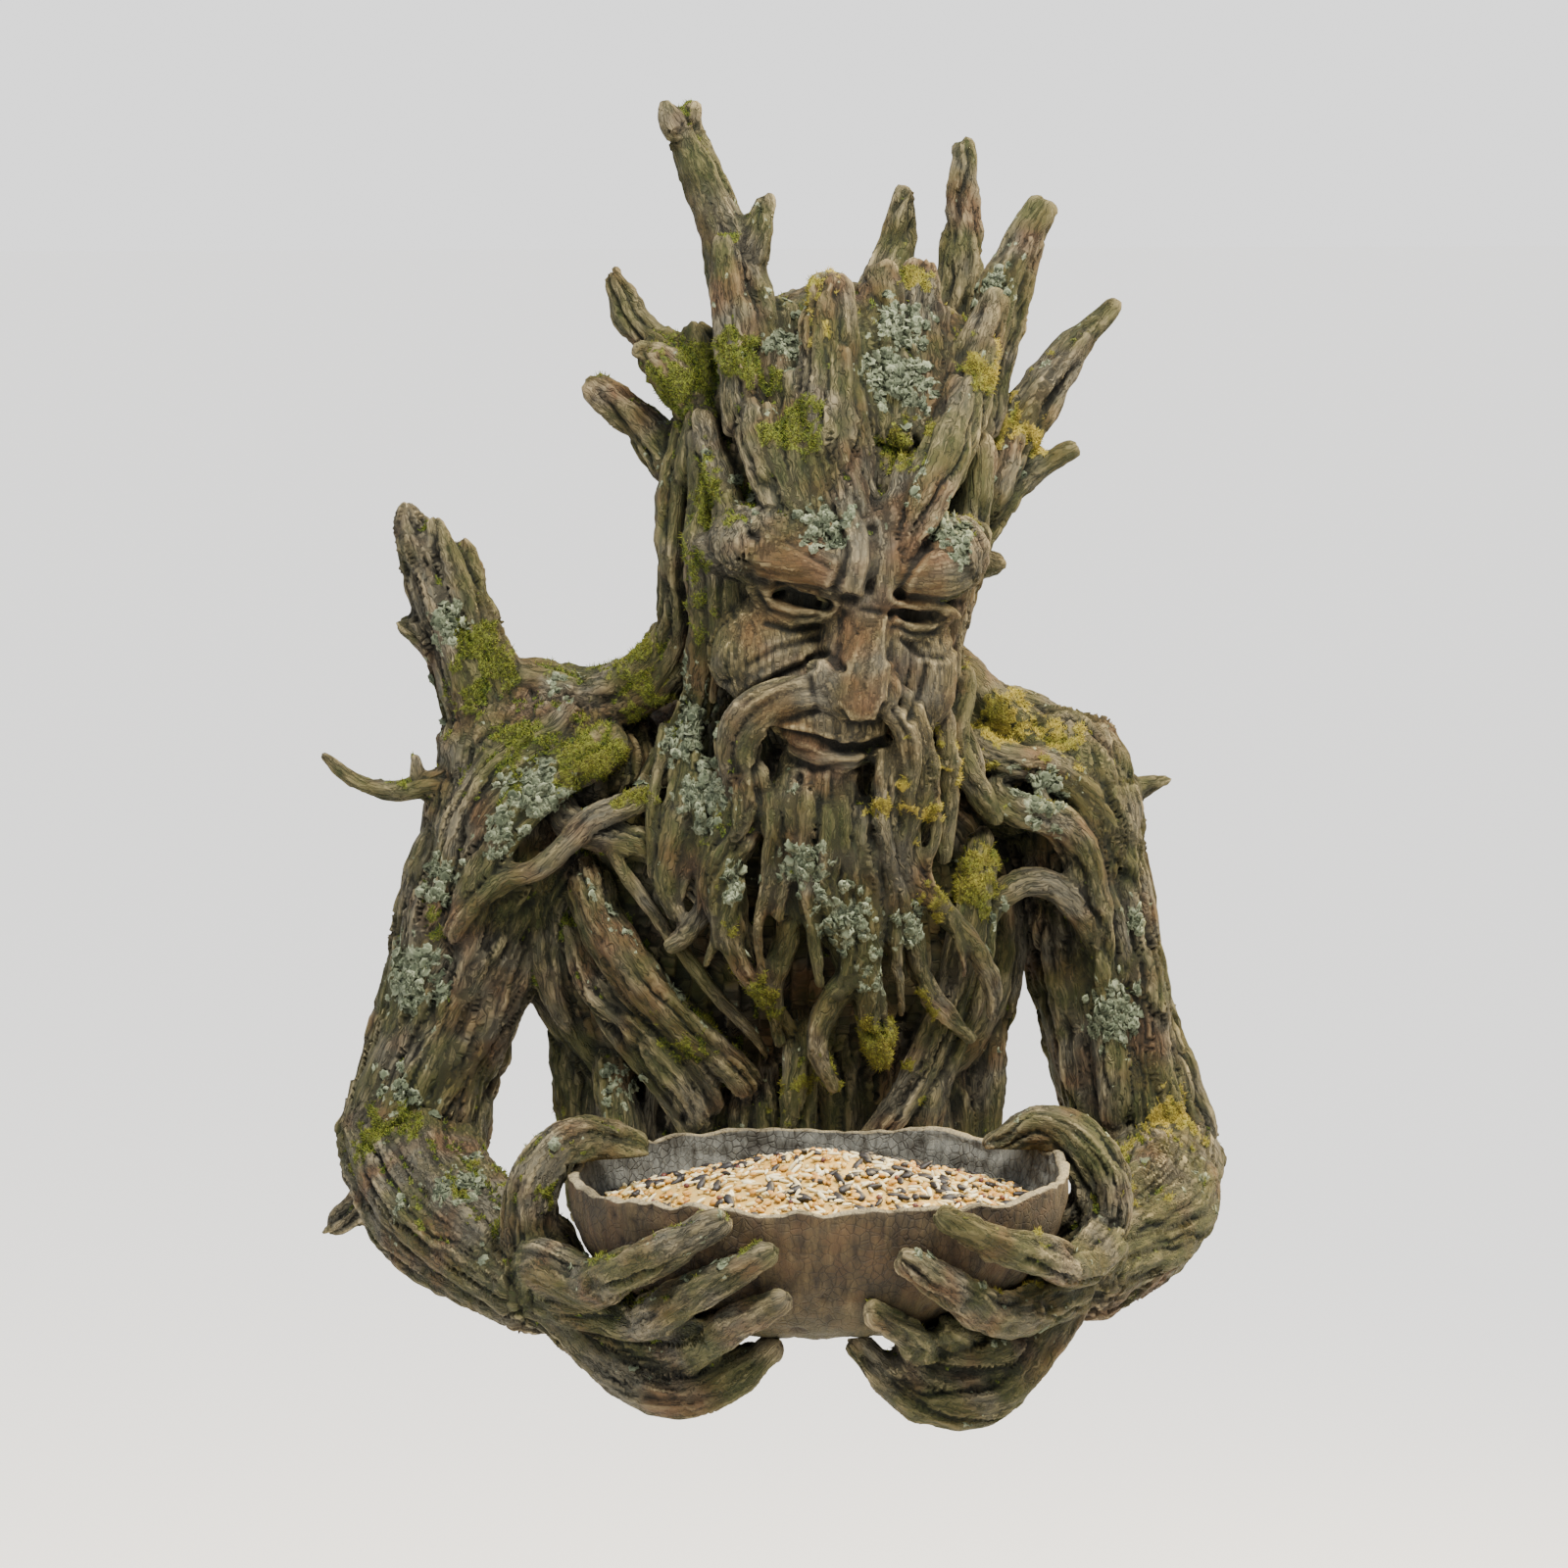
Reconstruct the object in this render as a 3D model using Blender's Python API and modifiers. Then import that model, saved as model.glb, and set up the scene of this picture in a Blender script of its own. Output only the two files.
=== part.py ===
# A bird feeder for a wall or a tree trunk: a tree spirit, carved in one piece, that holds out a dish
# of seed. Metres, +Z up. The figure faces -Y, its flat back lies in the plane y = 0, and the origin is
# the hanging point.
import math
import random

import bmesh
import bpy
import numpy as np
from mathutils import Matrix, Vector

# Driving sizes
FIGURE_HEIGHT = 0.738       # tip of the tallest branch to the lowest finger
HANGING_HEIGHT = 0.324      # hanging point above the lowest finger

DISH_WIDTH = 0.286
DISH_DEPTH = 0.250
DISH_HEIGHT = 0.082
DISH_WALL = 0.008           # wall at the rim
DISH_FLOOR = 0.012
DISH_FOOT_SHARE = 0.50      # foot width as a share of the rim's width
DISH_CURVE = (2.2, 0.6)     # how soon the wall turns up, and how full it is
DISH_RIM_WAVE = 0.0025      # how far the hewn rim rises and falls
RIM_WAVES = ((3, 0.8, 0.5), (5, 2, 0.3), (8, 0, 0.25))    # waves round it, their start and share
RIM_WAVE_REACH = 8          # how quickly they die away below the rim
DISH_FROM_BACK = 0.290      # middle of the dish to the flat back
DISH_FOOT_HEIGHT = 0.057    # underside of the dish above the lowest finger
DISH_SEAT_GAP = 0.0005      # air between the dish and the hands

SEED_FILL = 0.74            # height of the seed's edge as a share of the dish's height
SEED_CROWN = 0.032          # how far the heap rises in its middle
SEED_SLOPE = 1.12           # how its sides slope: 1 is a plain cone, 2 a dome
SEED_GAP = 0.0004           # air between the heap and the dish

FINGER_RADIUS = 0.0118

KEYHOLE_SPACING = 0.110
KEYHOLE_HEAD = 0.016        # round entry that a screw's head passes
KEYHOLE_SLOT = 0.008        # slot that its shank slides up
KEYHOLE_RISE = 0.016
KEYHOLE_LIP = 0.005         # wood that the screw's head grips behind
KEYHOLE_DEPTH = 0.013
KEYHOLE_POCKET = 0.014      # width of the pocket behind the slot
KEYHOLE_PROUD = 0.004       # how far its cutter stands out behind the flat back
KEYHOLE_STEP = 0.0005       # how much shallower the pocket is than the entry

VOXEL = 0.0042              # grid on which the carved forms are united
FIGURE_FACES = 7180
DISH_SIDES = 36
ARC_STEPS = 16
CUT_SPREAD = 2.2            # how far a groove's flanks reach, in its half widths
LEAST_KEPT = 0.12           # weight of the wood far from the face, as the facets are thinned
FACE_KEPT = 0.6             # how strongly the face keeps its facets
FACE_MIDDLE = (7, 74, 36)   # across, up and depth on the drawing sheet
FACE_REACH = 17

# How a strand's ends dive into the wood below it, in squares up and in, and how thin they get
ROOT_DIVE = (1.6, -2.6, 0.6)
TAIL_DIVE = (-1.4, -2.4, 0.5)

# Ridges of bark on a limb: how far out they lie and how thick they are, in the limb's radii
RIDGE_OUT = 0.74
RIDGE_THICK = (0.3, 0.42)

# The drawing sheet: the figure is drawn as it is seen from a little to its right and a little above.
# A sheet point is (across, up, depth): squares across from the middle, squares up from the lowest
# finger, and squares of depth forward of the flat back.
SQUARE = FIGURE_HEIGHT / 127.2
SHEET_LOWEST = 3.1 * SQUARE     # the lowest finger's height on the sheet, at the hands' depth
SIGHT_TURN = math.radians(7)
SIGHT_DROP = math.radians(7.5)
SIGHT_DISTANCE = 517
SHEET_MIDDLE_UP = 61.5
SHEET_MIDDLE_DEPTH = 22

SIGHT_RIGHT = Vector((math.cos(SIGHT_TURN), -math.sin(SIGHT_TURN), 0))
SIGHT_AHEAD = Vector((
    math.sin(SIGHT_TURN) * math.cos(SIGHT_DROP),
    math.cos(SIGHT_TURN) * math.cos(SIGHT_DROP),
    -math.sin(SIGHT_DROP),
))
SIGHT_UP = SIGHT_RIGHT.cross(SIGHT_AHEAD)


def placed(across, up, depth):
    """The place in space of a sheet point."""
    aim = SIGHT_AHEAD * SIGHT_DISTANCE + SIGHT_RIGHT * across + SIGHT_UP * (up - SHEET_MIDDLE_UP)
    eye = -SIGHT_AHEAD * SIGHT_DISTANCE
    reach = (SHEET_MIDDLE_DEPTH - depth - eye.y) / aim.y
    spot = eye + aim * reach
    height = (spot.z + SHEET_MIDDLE_UP) * SQUARE - SHEET_LOWEST
    return Vector((spot.x * SQUARE, -depth * SQUARE, height - HANGING_HEIGHT))


# Rounded masses: across, up, depth, then half width, half height, half depth, in squares
SKULL = (5, 87.5, 17.5, 16, 21, 14.5)
CHEST = (-1, 46, 11.5, 25, 21, 14.5)
BELLY = (0, 27, 10.5, 20, 21, 13)
MASSES = [
    SKULL,
    CHEST,
    BELLY,
    (6, 101, 17, 16.5, 11.5, 12),           # crown of the head
    (4.5, 66, 16, 13, 17, 12.5),            # jaw and neck
    (5.8, 77, 21, 12.6, 17, 12.6),          # the face's ground
    (-24, 64.5, 12, 12, 8, 9),              # left shoulder
    (-29.5, 56, 12, 7.5, 12, 9),
    (26, 62.5, 12, 10, 7.5, 9),             # right shoulder
    (29.5, 56.5, 12, 7.5, 11, 9),
    (0.2, 86.2, 31.6, 8, 4.6, 4.6),         # brows
    (16.2, 84.8, 31.8, 5, 4.2, 4.6),
    (9.2, 84.5, 33, 3.6, 6.5, 4),           # between the brows
    (8.2, 75, 33.8, 4.4, 8, 4.2),           # root and sides of the nose
    (-1.4, 74.8, 30.4, 6, 5.8, 4.6),        # cheeks
    (14, 72.8, 32, 3.8, 5.8, 4),
    (4.8, 67.8, 35.4, 5.8, 3, 3.2),         # upper lip
    (3.6, 61, 32.8, 4.6, 6.4, 4.2),         # chin
    (2.2, 80.4, 31.4, 3.2, 2.3, 3),         # eyeballs
    (13.6, 78.8, 32.2, 2.8, 2.1, 3),
    (7.8, 69.6, 39.2, 2.6, 2, 2.2),         # tip of the nose
    (4.2, 72.7, 36.8, 1.9, 1.8, 2),         # its wings
    (10.8, 71.3, 37.8, 1.4, 1.7, 1.8),
    (0, 60, 6, 20, 15, 12),                 # pad behind the shoulders, which the screws hold
]

# Branches, roots and muscles: points of (across, up, depth, radius), in squares
CROWN = [
    [(-1, 99.5, 24, 3.8), (-3.5, 109.5, 23, 3.2), (-6.5, 119, 21, 2.7), (-9.5, 126.5, 20, 2.1),
     (-10, 128, 20, 1.8)],
    [(-9.6, 126.5, 20, 1.5), (-11.6, 129.6, 20, 1.2), (-12.2, 131, 20, 0.8)],
    [(-9.2, 126.5, 19.5, 1.5), (-9.6, 129.5, 19.5, 1.1), (-9.3, 130.8, 19.5, 0.8)],
    [(-3.4, 115, 23, 2), (-2.4, 118.5, 23, 1.6), (-2, 121.2, 22.5, 1)],
    [(-6.2, 117, 25, 1.2), (-5.8, 112, 26.5, 1.7), (-5, 107, 27, 2.2), (-4, 98, 28, 2.3)],
    [(-17.6, 113.7, 14, 1.2), (-15, 108.5, 15, 1.9), (-11, 104.5, 17, 2.6), (-6, 99, 20, 3.2)],
    [(-14.4, 105.4, 18, 1.5), (-12, 104.2, 19.5, 2.2), (-8, 99.5, 21, 2.6)],
    [(-19.2, 102.2, 15, 1.6), (-15, 98.6, 16, 2.4), (-11, 93.5, 18, 3)],
    [(4.6, 112.6, 27, 2.3), (4.5, 107, 28.5, 2.8), (5, 97.5, 31, 3.6), (7, 88.5, 33, 3)],
    [(18.8, 102.2, 28, 1.8), (17, 96.5, 31, 2.9), (14, 89.5, 34, 3), (11.4, 84.5, 35, 2)],
    [(21.8, 111.2, 24, 1.5), (20, 106.5, 25, 2.2), (18, 99, 27, 2.8)],
    [(26.4, 120.3, 17, 1.6), (24, 115.5, 18, 2.2), (21.5, 108.5, 19, 3), (19, 98, 21, 3.4)],
    [(18.5, 126.6, 8, 1.5), (18, 120.5, 9, 2.1), (18.3, 115.5, 10, 2.6), (17, 104, 13, 3.2)],
    [(12.6, 121.9, 9, 1.3), (11.5, 116.5, 10, 2.1), (9.6, 111.5, 12, 2.8), (8, 103, 15, 3)],
    [(33.8, 110.5, 14, 0.9), (29, 105.5, 15, 1.9), (25, 99.5, 17, 2.9), (20, 91, 19, 3)],
    [(29.4, 95.8, 18, 1), (25.5, 93.5, 19, 1.5), (22.5, 91, 20, 2), (19, 86, 22, 2)],
    [(-4, 103, 27, 1.3), (-3, 96.5, 30.5, 1.8), (0.5, 87, 34, 1.6)],
    [(-8.2, 99, 24, 1.3), (-7, 94, 27, 1.5), (-5, 87.5, 31.5, 1.4)],
    [(12.2, 94.5, 32.5, 1.1), (11.6, 90, 34.5, 1.6), (10, 85, 35.5, 1.4)],
    [(1.2, 103, 29, 1.2), (1.4, 96, 32, 1.5), (3, 87, 35, 1.5)],
    [(-0.5, 110, 23, 1.8), (0, 102, 26.5, 2.2), (1, 93, 30.5, 2)],
    [(10, 113.5, 20, 2), (10, 106, 24.5, 2.8), (10.5, 97, 29, 2.8)],
    [(14, 114, 19, 1.8), (14, 106, 23.5, 2.8), (14.5, 97, 28, 2.8)],
    [(-9, 108, 18, 1.6), (-8, 101, 21, 2.4), (-9, 93, 23, 2.2)],
]

BACK_STUBS = [
    [(-4, 112, 5, 1.2), (-3, 106, 7, 2.2), (0, 98, 10, 3)],
    [(-12, 92, 5, 1.1), (-9, 90, 7, 2), (-4, 86, 10, 2.8)],
    [(22, 84, 7, 1.2), (18, 84, 8, 2), (12, 82, 11, 2.8)],
    [(6, 111, 6, 1.4), (6, 105, 8, 2.4), (7, 98, 11, 3)],
]

HEAD_SIDES = [
    [(-9.5, 99, 19, 2), (-11.3, 90, 20, 2.1), (-11, 82, 21, 2), (-11.5, 76, 20, 2.2),
     (-15, 71.5, 17, 2.6),
     (-21, 68.5, 14, 2.6)],
    [(-7.5, 95, 25, 1.6), (-8.6, 86, 27, 1.8), (-8, 77, 26.5, 1.8), (-9, 69, 24, 2),
     (-13, 61, 21, 2.2)],
    [(23, 96, 20, 2), (20, 88, 21, 2), (16.8, 80, 21, 2), (16.2, 74, 20, 2.2), (19, 68.6, 17, 2.2),
     (26, 67, 14, 2.4)],
    [(20, 95, 27, 1.8), (18.8, 87, 28.5, 1.9), (16.8, 78, 28, 1.5), (16.8, 70, 26, 1.6),
     (19, 63, 25, 1.6)],
    [(-6, 97, 6, 2.4), (-8, 84, 6.5, 2.4), (-8, 72, 7, 2.4), (-13, 64, 5, 2.6)],
    [(4, 99, 4.5, 2.6), (3, 84, 4.5, 2.6), (3, 70, 5, 2.6), (1, 60, 3, 2.8)],
    [(16, 98, 6, 2.4), (16, 84, 6, 2.4), (15, 72, 7, 2.4), (18, 64, 5, 2.6)],
]

BROWS = [
    [(-7.6, 85.4, 29, 1.8), (-4, 85, 32.4, 2.5), (0.6, 84.3, 34.6, 2.6), (4.6, 83.2, 36, 2.3),
     (7, 81.8, 36.8, 1.4)],
    [(6.2, 92, 33.8, 1.6), (6.9, 88, 35.6, 1.9), (7.5, 84.6, 36.9, 2), (7.1, 82, 37.4, 1.6)],
    [(10.6, 89, 34.8, 1.2), (10.7, 84, 36.4, 1.3), (10.2, 80.8, 36.6, 1.2)],
    [(12.4, 82.6, 36.4, 1.7), (15.2, 82.8, 35.8, 2.5), (18, 83.8, 33.2, 2.4), (19.6, 86.4, 30, 1.8)],
]
EYELIDS = [
    [(-3.6, 81.4, 32, 0.5), (-0.8, 81.5, 33.8, 0.7), (2.4, 81.2, 34.9, 0.7), (5.4, 80.4, 35.6, 0.7)],
    [(-3.2, 80.6, 32, 0.5), (-0.6, 79.3, 33.8, 0.8), (2.4, 78.6, 34.7, 0.9), (5.4, 79.3, 35.3, 0.7)],
    [(11, 79.4, 36, 0.7), (13.4, 79.9, 35.5, 0.8), (16, 79.6, 34.2, 0.7), (17.8, 78.6, 32.4, 0.5)],
    [(11.2, 77.9, 35.6, 0.5), (13.2, 77.2, 35.2, 0.8), (15.4, 77.5, 34.2, 0.7), (17, 78.2, 33, 0.5)],
]
NOSE = [
    [(8.8, 80.4, 35, 1.3), (8.5, 76.4, 37, 1.4), (7.4, 72.6, 38.7, 1.8), (7, 69.8, 39.4, 1.8)],
    [(10, 80.4, 35.2, 1.2), (9.8, 76.4, 37.2, 1.3), (9.1, 72.6, 39, 1.6), (8.6, 69.8, 39.6, 1.7)],
    [(3.2, 73.4, 36, 1), (4.5, 72.6, 37.4, 1.4), (6.2, 70.4, 38.8, 1.5)],
]
MOUTH = [
    [(3, 72, 37.4, 0.9), (-1.6, 70.8, 36.4, 1.2), (-4.6, 68.6, 35, 1.3), (-5.8, 65.4, 34, 1.2),
     (-5.2, 61, 33, 0.9)],
    [(6, 69.6, 38.4, 0.9), (2, 70.2, 37.6, 1.2), (-1.6, 68.6, 36.4, 1.3), (-3.8, 65.6, 35, 1.3),
     (-3.9, 61, 34, 1.1),
     (-4, 57, 33, 0.7)],
    [(9.4, 69.2, 38.4, 0.9), (11.8, 68, 38, 1.2), (12.9, 64.6, 37, 1.3), (12.3, 59.6, 35.4, 1)],
    [(10.6, 72, 37, 0.7), (13.2, 69.4, 36.6, 1), (14.4, 66.4, 35.6, 0.9)],
    [(0.8, 65.2, 35.2, 0.6), (3.6, 64.4, 36.4, 1), (6.4, 63.9, 36.7, 1.1), (9, 64.4, 36.2, 0.8)],
]

BEARD = [
    [(3.8, 63, 32.4, 3.2), (4, 59.4, 33.6, 3.5), (4.4, 51.5, 33, 3), (7, 43.5, 31, 2.2),
     (10, 35.5, 29.5, 1.3)],
    [(7.4, 58.5, 34.6, 1.8), (8.2, 49.5, 33.8, 2), (8.4, 42.5, 32.4, 1.8), (8.6, 37.5, 31, 1.3),
     (10, 33, 30, 0.9)],
    [(7, 42, 32.2, 1.6), (5, 39.4, 31.6, 1.5), (3.5, 35, 31, 1.2), (5, 30.6, 30, 0.8)],
    [(-3.5, 64, 33.5, 1.8), (-3.6, 58.5, 33, 2.2), (-6, 53.5, 31.5, 2), (-5.6, 48.5, 30.5, 1.8),
     (-3.4, 41.5, 29, 1.2)],
    [(-5, 51.5, 33, 1), (-5.8, 47, 32.4, 1.1), (-4.5, 43, 31.2, 1), (-1.7, 39.2, 30, 0.7)],
    [(-9.8, 66, 26, 1.6), (-11, 57, 28, 1.6), (-12, 51.5, 28, 1.4), (-11, 48, 28, 1)],
    [(-8, 62, 29, 1.5), (-7.4, 54, 30, 1.6), (-9, 47, 29, 1.2), (-11.5, 45, 28, 1)],
    [(12.8, 69, 34.5, 1.2), (14.5, 61.5, 33.8, 1.4), (12.6, 56.5, 33.4, 1.4), (13.3, 52.5, 32.6, 1.3),
     (16.2, 48.5, 31, 1.3), (19.2, 45, 29.4, 1.2), (21.2, 40.7, 27.6, 1.1), (21.2, 37.8, 26.6, 0.8)],
    [(10.2, 64.5, 36, 1.2), (10, 56, 34.4, 1.6), (13, 46.5, 31.4, 1.5), (14.5, 40.5, 29, 1.2),
     (19, 35.5, 26, 0.9)],
    [(16.4, 68, 31, 1.2), (16.8, 60, 30.4, 1.2), (16.2, 54, 29.6, 1)],
    [(18.5, 71.5, 26, 1.3), (17.6, 65.5, 28, 1.3), (20, 60.5, 26, 1.4), (21.6, 58, 24.5, 1)],
    [(0.8, 62, 35, 1.2), (0, 55, 34, 1.5), (0.6, 48, 32.4, 1.5), (-1, 40.5, 29.6, 1.1),
     (-0.4, 35, 28, 0.8)],
]

TORSO = [
    [(-20, 51.5, 21, 2.4), (-16, 43.5, 24.5, 2.4), (-10, 36.5, 25.6, 2.2), (-4, 31, 25.4, 1.6)],
    [(-21, 46.5, 18, 2), (-19, 40.5, 21.5, 2.1), (-14, 35.5, 23.6, 2.1), (-9, 28, 24, 1.8)],
    [(-22, 40, 12, 2.2), (-21.4, 30, 12, 2.2), (-20.4, 18, 11, 2)],
    [(-17.4, 32, 19, 2), (-15.6, 20, 19, 2)],
    [(21, 46, 14, 2.2), (20.8, 36, 14, 2.2), (20, 20, 12, 2)],
    [(15.5, 36, 22.5, 1.8), (14, 24, 22.5, 1.8)],
    [(2, 36, 26, 2), (1, 24, 24.5, 2)],
    [(20, 55, 23.5, 1.8), (18, 44, 25.6, 2), (14, 32, 24.8, 1.8), (9, 24, 24.4, 1.6)],
    [(-22, 58, 20, 2), (-12, 54, 25.6, 2), (-4, 44, 26.6, 1.8)],
    [(19, 45.5, 22.5, 1.5), (22, 49.8, 22.5, 1.6), (26, 51.4, 22, 1.6), (30, 48.5, 20.5, 1.5),
     (33, 43, 18.5, 1.2)],
    [(-14.2, 60.4, 25, 1.3), (-19.4, 58.1, 24.4, 1.4), (-22.5, 55.4, 24, 1.4), (-25, 53, 23.4, 1.3),
     (-28.6, 51.8, 22.4, 1.3), (-31, 50, 21.4, 1.3), (-33.6, 46.5, 20, 1.1)],
]

SHOULDERS = [
    [(-10, 77, 19, 3), (-12.5, 73.5, 18, 3.4), (-18, 70.2, 15, 3.4), (-27, 71.4, 12, 2.8),
     (-32, 69.5, 12, 3)],
    [(-29.5, 67, 12, 4.8), (-33, 77, 11, 4.2), (-36, 84, 10, 3.2), (-38.2, 88.4, 9, 1.7),
     (-38.6, 89.8, 9, 1)],
    [(-32.4, 78, 12.5, 2.6), (-34.8, 85.6, 12, 1.5), (-35.6, 88.3, 12, 0.8)],
    [(-31, 77, 10.5, 2.6), (-32, 83.5, 10.5, 1.6), (-32.6, 86.4, 10.5, 0.8)],
    [(-39, 77.9, 10, 1.1), (-36, 75.8, 11, 1.7), (-32, 71.5, 12, 2.2)],
    [(-47.2, 64.6, 12, 0.6), (-44, 62, 12, 0.9), (-40, 60.8, 13, 1.1), (-36, 61.5, 14, 1.4),
     (-31, 62.5, 15, 1.7)],
    [(-37.7, 64.3, 13, 0.7), (-37, 61.5, 13.5, 1), (-34, 59, 14, 1.2)],
    [(17, 73, 19, 3), (21, 69.4, 16, 3), (26, 67.6, 13, 3.2), (32, 65.6, 12, 3)],
    [(39, 62.1, 11, 0.8), (36, 61, 11.5, 1.4), (32, 59, 12, 1.8)],
    [(23.2, 61.8, 28, 1.9), (20, 64.5, 26.5, 2.3), (15.5, 67.5, 23, 2.6)],
    [(-22, 68.5, 17, 2), (-30, 62, 19, 2.2), (-34.4, 52, 17.5, 2), (-36.4, 44, 15, 1.8)],
    [(-18, 65.5, 21, 2), (-26, 60.5, 21.5, 2), (-31, 52, 20.5, 2), (-33.4, 43, 17.5, 1.8),
     (-36.4, 34, 16, 1.8)],
    [(20, 65, 20, 2), (28, 62.5, 20, 2), (33.6, 56, 18, 2), (36, 46, 16, 1.8), (38, 36, 15.5, 1.8)],
    [(22, 60, 23, 1.8), (28.5, 57, 22, 1.9), (31.5, 49, 20, 1.8), (33, 38, 18.5, 1.8),
     (34, 28, 18.5, 1.8)],
]

ARMS = [
    [(-28, 58, 12, 7), (-31, 50, 12, 7.6), (-33, 41.5, 12, 7.4), (-36, 32, 11.5, 6.8),
     (-38, 24, 12.5, 7.2)],
    [(29, 57, 12, 7), (30.5, 49, 12, 7), (32.3, 40.5, 12, 6.9), (34.5, 32, 12, 7), (37.2, 24, 13, 7.4)],
    [(-46.9, 15.7, 11, 0.6), (-45.4, 16.6, 11.5, 1.4), (-41, 20, 13, 2.6)],
]
ELBOWS = {-1: (-38, 23, 12.5, 7.2), 1: (37.4, 22.8, 13, 7.4)}
FOREARMS = {-1: (-35.4, 18.6, 24, 6.6), 1: (37.4, 18.8, 24, 6.6)}

# The hands, drawn round the dish: (angle round from its front, height as a share of the dish's, gap to
# its wall in finger radii, thickness in finger radii). Angles grow towards each hand's own wrist.
WRIST = (102, 0.16, 4.4, 2.4)
FINGERS = {
    -1: [
        [(86, 0.42, 2.2, 1.35), (73, 0.36, 1.2, 1.15), (54, 0.55, 1.05, 1.05), (39, 0.76, 1, 0.95),
         (27, 0.98, 0.85, 0.7)],
        [(84, 0.14, 2.4, 1.35), (70, 0.1, 1.4, 1.15), (44, 0.32, 1.1, 1.05), (30, 0.55, 1, 0.95),
         (17, 0.78, 0.85, 0.7)],
        [(80, -0.14, 2.8, 1.35), (62, -0.14, 2, 1.15), (38, 0.08, 1.3, 1.05), (26, 0.27, 1.1, 0.9),
         (15, 0.44, 0.9, 0.65)],
        [(74, -0.36, 3.2, 1.25), (54, -0.4, 2, 1.05), (36, -0.22, 1.3, 0.95), (25, -0.04, 1.1, 0.7)],
    ],
    1: [
        [(88, 0.42, 2.6, 1.35), (72, 0.4, 1.7, 1.15), (49, 0.6, 1.2, 1.05), (33, 0.78, 1, 0.95),
         (20, 0.99, 0.85, 0.7)],
        [(86, 0.14, 2.8, 1.35), (66, 0.12, 2, 1.15), (40, 0.22, 1.4, 1.05), (25, 0.45, 1, 0.95),
         (12, 0.72, 0.85, 0.7)],
        [(82, -0.14, 3.2, 1.35), (60, -0.2, 2.4, 1.15), (36, -0.08, 1.4, 1.05), (20, 0.12, 1.2, 0.9),
         (7, 0.33, 0.9, 0.65)],
        [(76, -0.36, 3.6, 1.25), (56, -0.5, 2.6, 1.1), (34, -0.42, 1.6, 1), (18, -0.22, 1.2, 0.85),
         (8, -0.02, 1, 0.65)],
    ],
}
# Roots that close the gaps behind the fingers, drawn in the same way
WEBS = {
    -1: [
        [(82, 0, 2.4, 1.3), (66, -0.04, 1.7, 1), (48, 0.06, 1.15, 0.9), (36, 0.18, 1, 0.7)],
        [(78, -0.26, 2.6, 1.3), (60, -0.28, 1.8, 1.1), (44, -0.18, 1.2, 0.9), (34, -0.1, 1, 0.7)],
    ],
    1: [
        [(84, 0, 2.6, 1.3), (62, -0.05, 1.9, 1), (44, 0.03, 1.3, 0.9), (32, 0.12, 1.1, 0.7)],
        [(80, -0.26, 3, 1.3), (58, -0.36, 2.3, 1.1), (36, -0.28, 1.5, 0.9), (24, -0.14, 1.2, 0.7)],
    ],
}
THUMBS = {
    -1: [(104, 0.3, 3, 1.8), (100, 0.66, 2.2, 1.5), (100, 1.0, 1.3, 1.3), (106, 1.18, -0.4, 1.15),
         (116, 1.08, -2.6, 0.8)],
    1: [(104, 0.3, 3, 1.8), (96, 0.66, 2.4, 1.5), (96, 1.0, 1.4, 1.3), (104, 1.18, -0.4, 1.15),
        (112, 1.04, -2.4, 0.8)],
}

# Cuts on the face: points of (across, up, depth), then the cut's half width and its depth, in squares
FACE_CUTS = [
    ([(-1.4, 80.8, 33.8), (1.6, 80.2, 34.8), (5, 79.9, 35.6)], 0.75, 1.5),               # slits of the eyes
    ([(11.3, 78.7, 36.2), (13.4, 78.6, 35.6), (15.6, 78.6, 34.4)], 0.65, 1.3),
    ([(-1.2, 67.1, 36.6), (2.7, 66.2, 38), (6.2, 65.2, 38.4), (9.8, 65.5, 38)], 0.7, 1.4),   # mouth
    ([(-5.2, 70.6, 34), (-1, 72.6, 36), (2.4, 73.6, 37)], 0.8, 0.8),                 # fold of a cheek
    ([(9.6, 90, 36), (9.9, 84.6, 37.6)], 0.7, 0.8),                                          # frown
    ([(7.4, 90.4, 35.6), (7.2, 86, 37), (6.4, 83.6, 37.8)], 0.7, 0.8),
]


def remove_all():
    """Empty the scene."""
    for item in list(bpy.data.objects):
        bpy.data.objects.remove(item, do_unlink=True)


def material(name, colour, roughness):
    """A Principled material."""
    made = bpy.data.materials.new(name)
    made.use_nodes = True
    shader = made.node_tree.nodes["Principled BSDF"]
    shader.inputs["Base Color"].default_value = (*colour, 1)
    shader.inputs["Roughness"].default_value = roughness
    shader.inputs["Metallic"].default_value = 0
    return made


def collection(name):
    """A collection in the scene."""
    made = bpy.data.collections.new(name)
    bpy.context.scene.collection.children.link(made)
    return made


def object_of(mesh, name, home, finish=None):
    """An object that holds a mesh."""
    made = bpy.data.objects.new(name, mesh)
    home.objects.link(made)
    if finish:
        mesh.materials.clear()
        mesh.materials.append(finish)
    return made


def settled(item):
    """An object's mesh with its modifiers worked in."""
    seen = item.evaluated_get(bpy.context.evaluated_depsgraph_get())
    return bpy.data.meshes.new_from_object(seen)


def drop(item):
    """Remove an object that was only a step on the way."""
    bpy.data.objects.remove(item, do_unlink=True)


def dish_share(height_share):
    """The dish's radius at a height, as a share of its rim's."""
    rise = min(max(height_share, 0), 1)
    turn_up, fullness = DISH_CURVE
    return DISH_FOOT_SHARE + (1 - DISH_FOOT_SHARE) * (1 - (1 - rise) ** turn_up) ** fullness


def dish_middle():
    """The middle of the dish's underside."""
    return Vector((0, -DISH_FROM_BACK, DISH_FOOT_HEIGHT - HANGING_HEIGHT))


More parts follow.
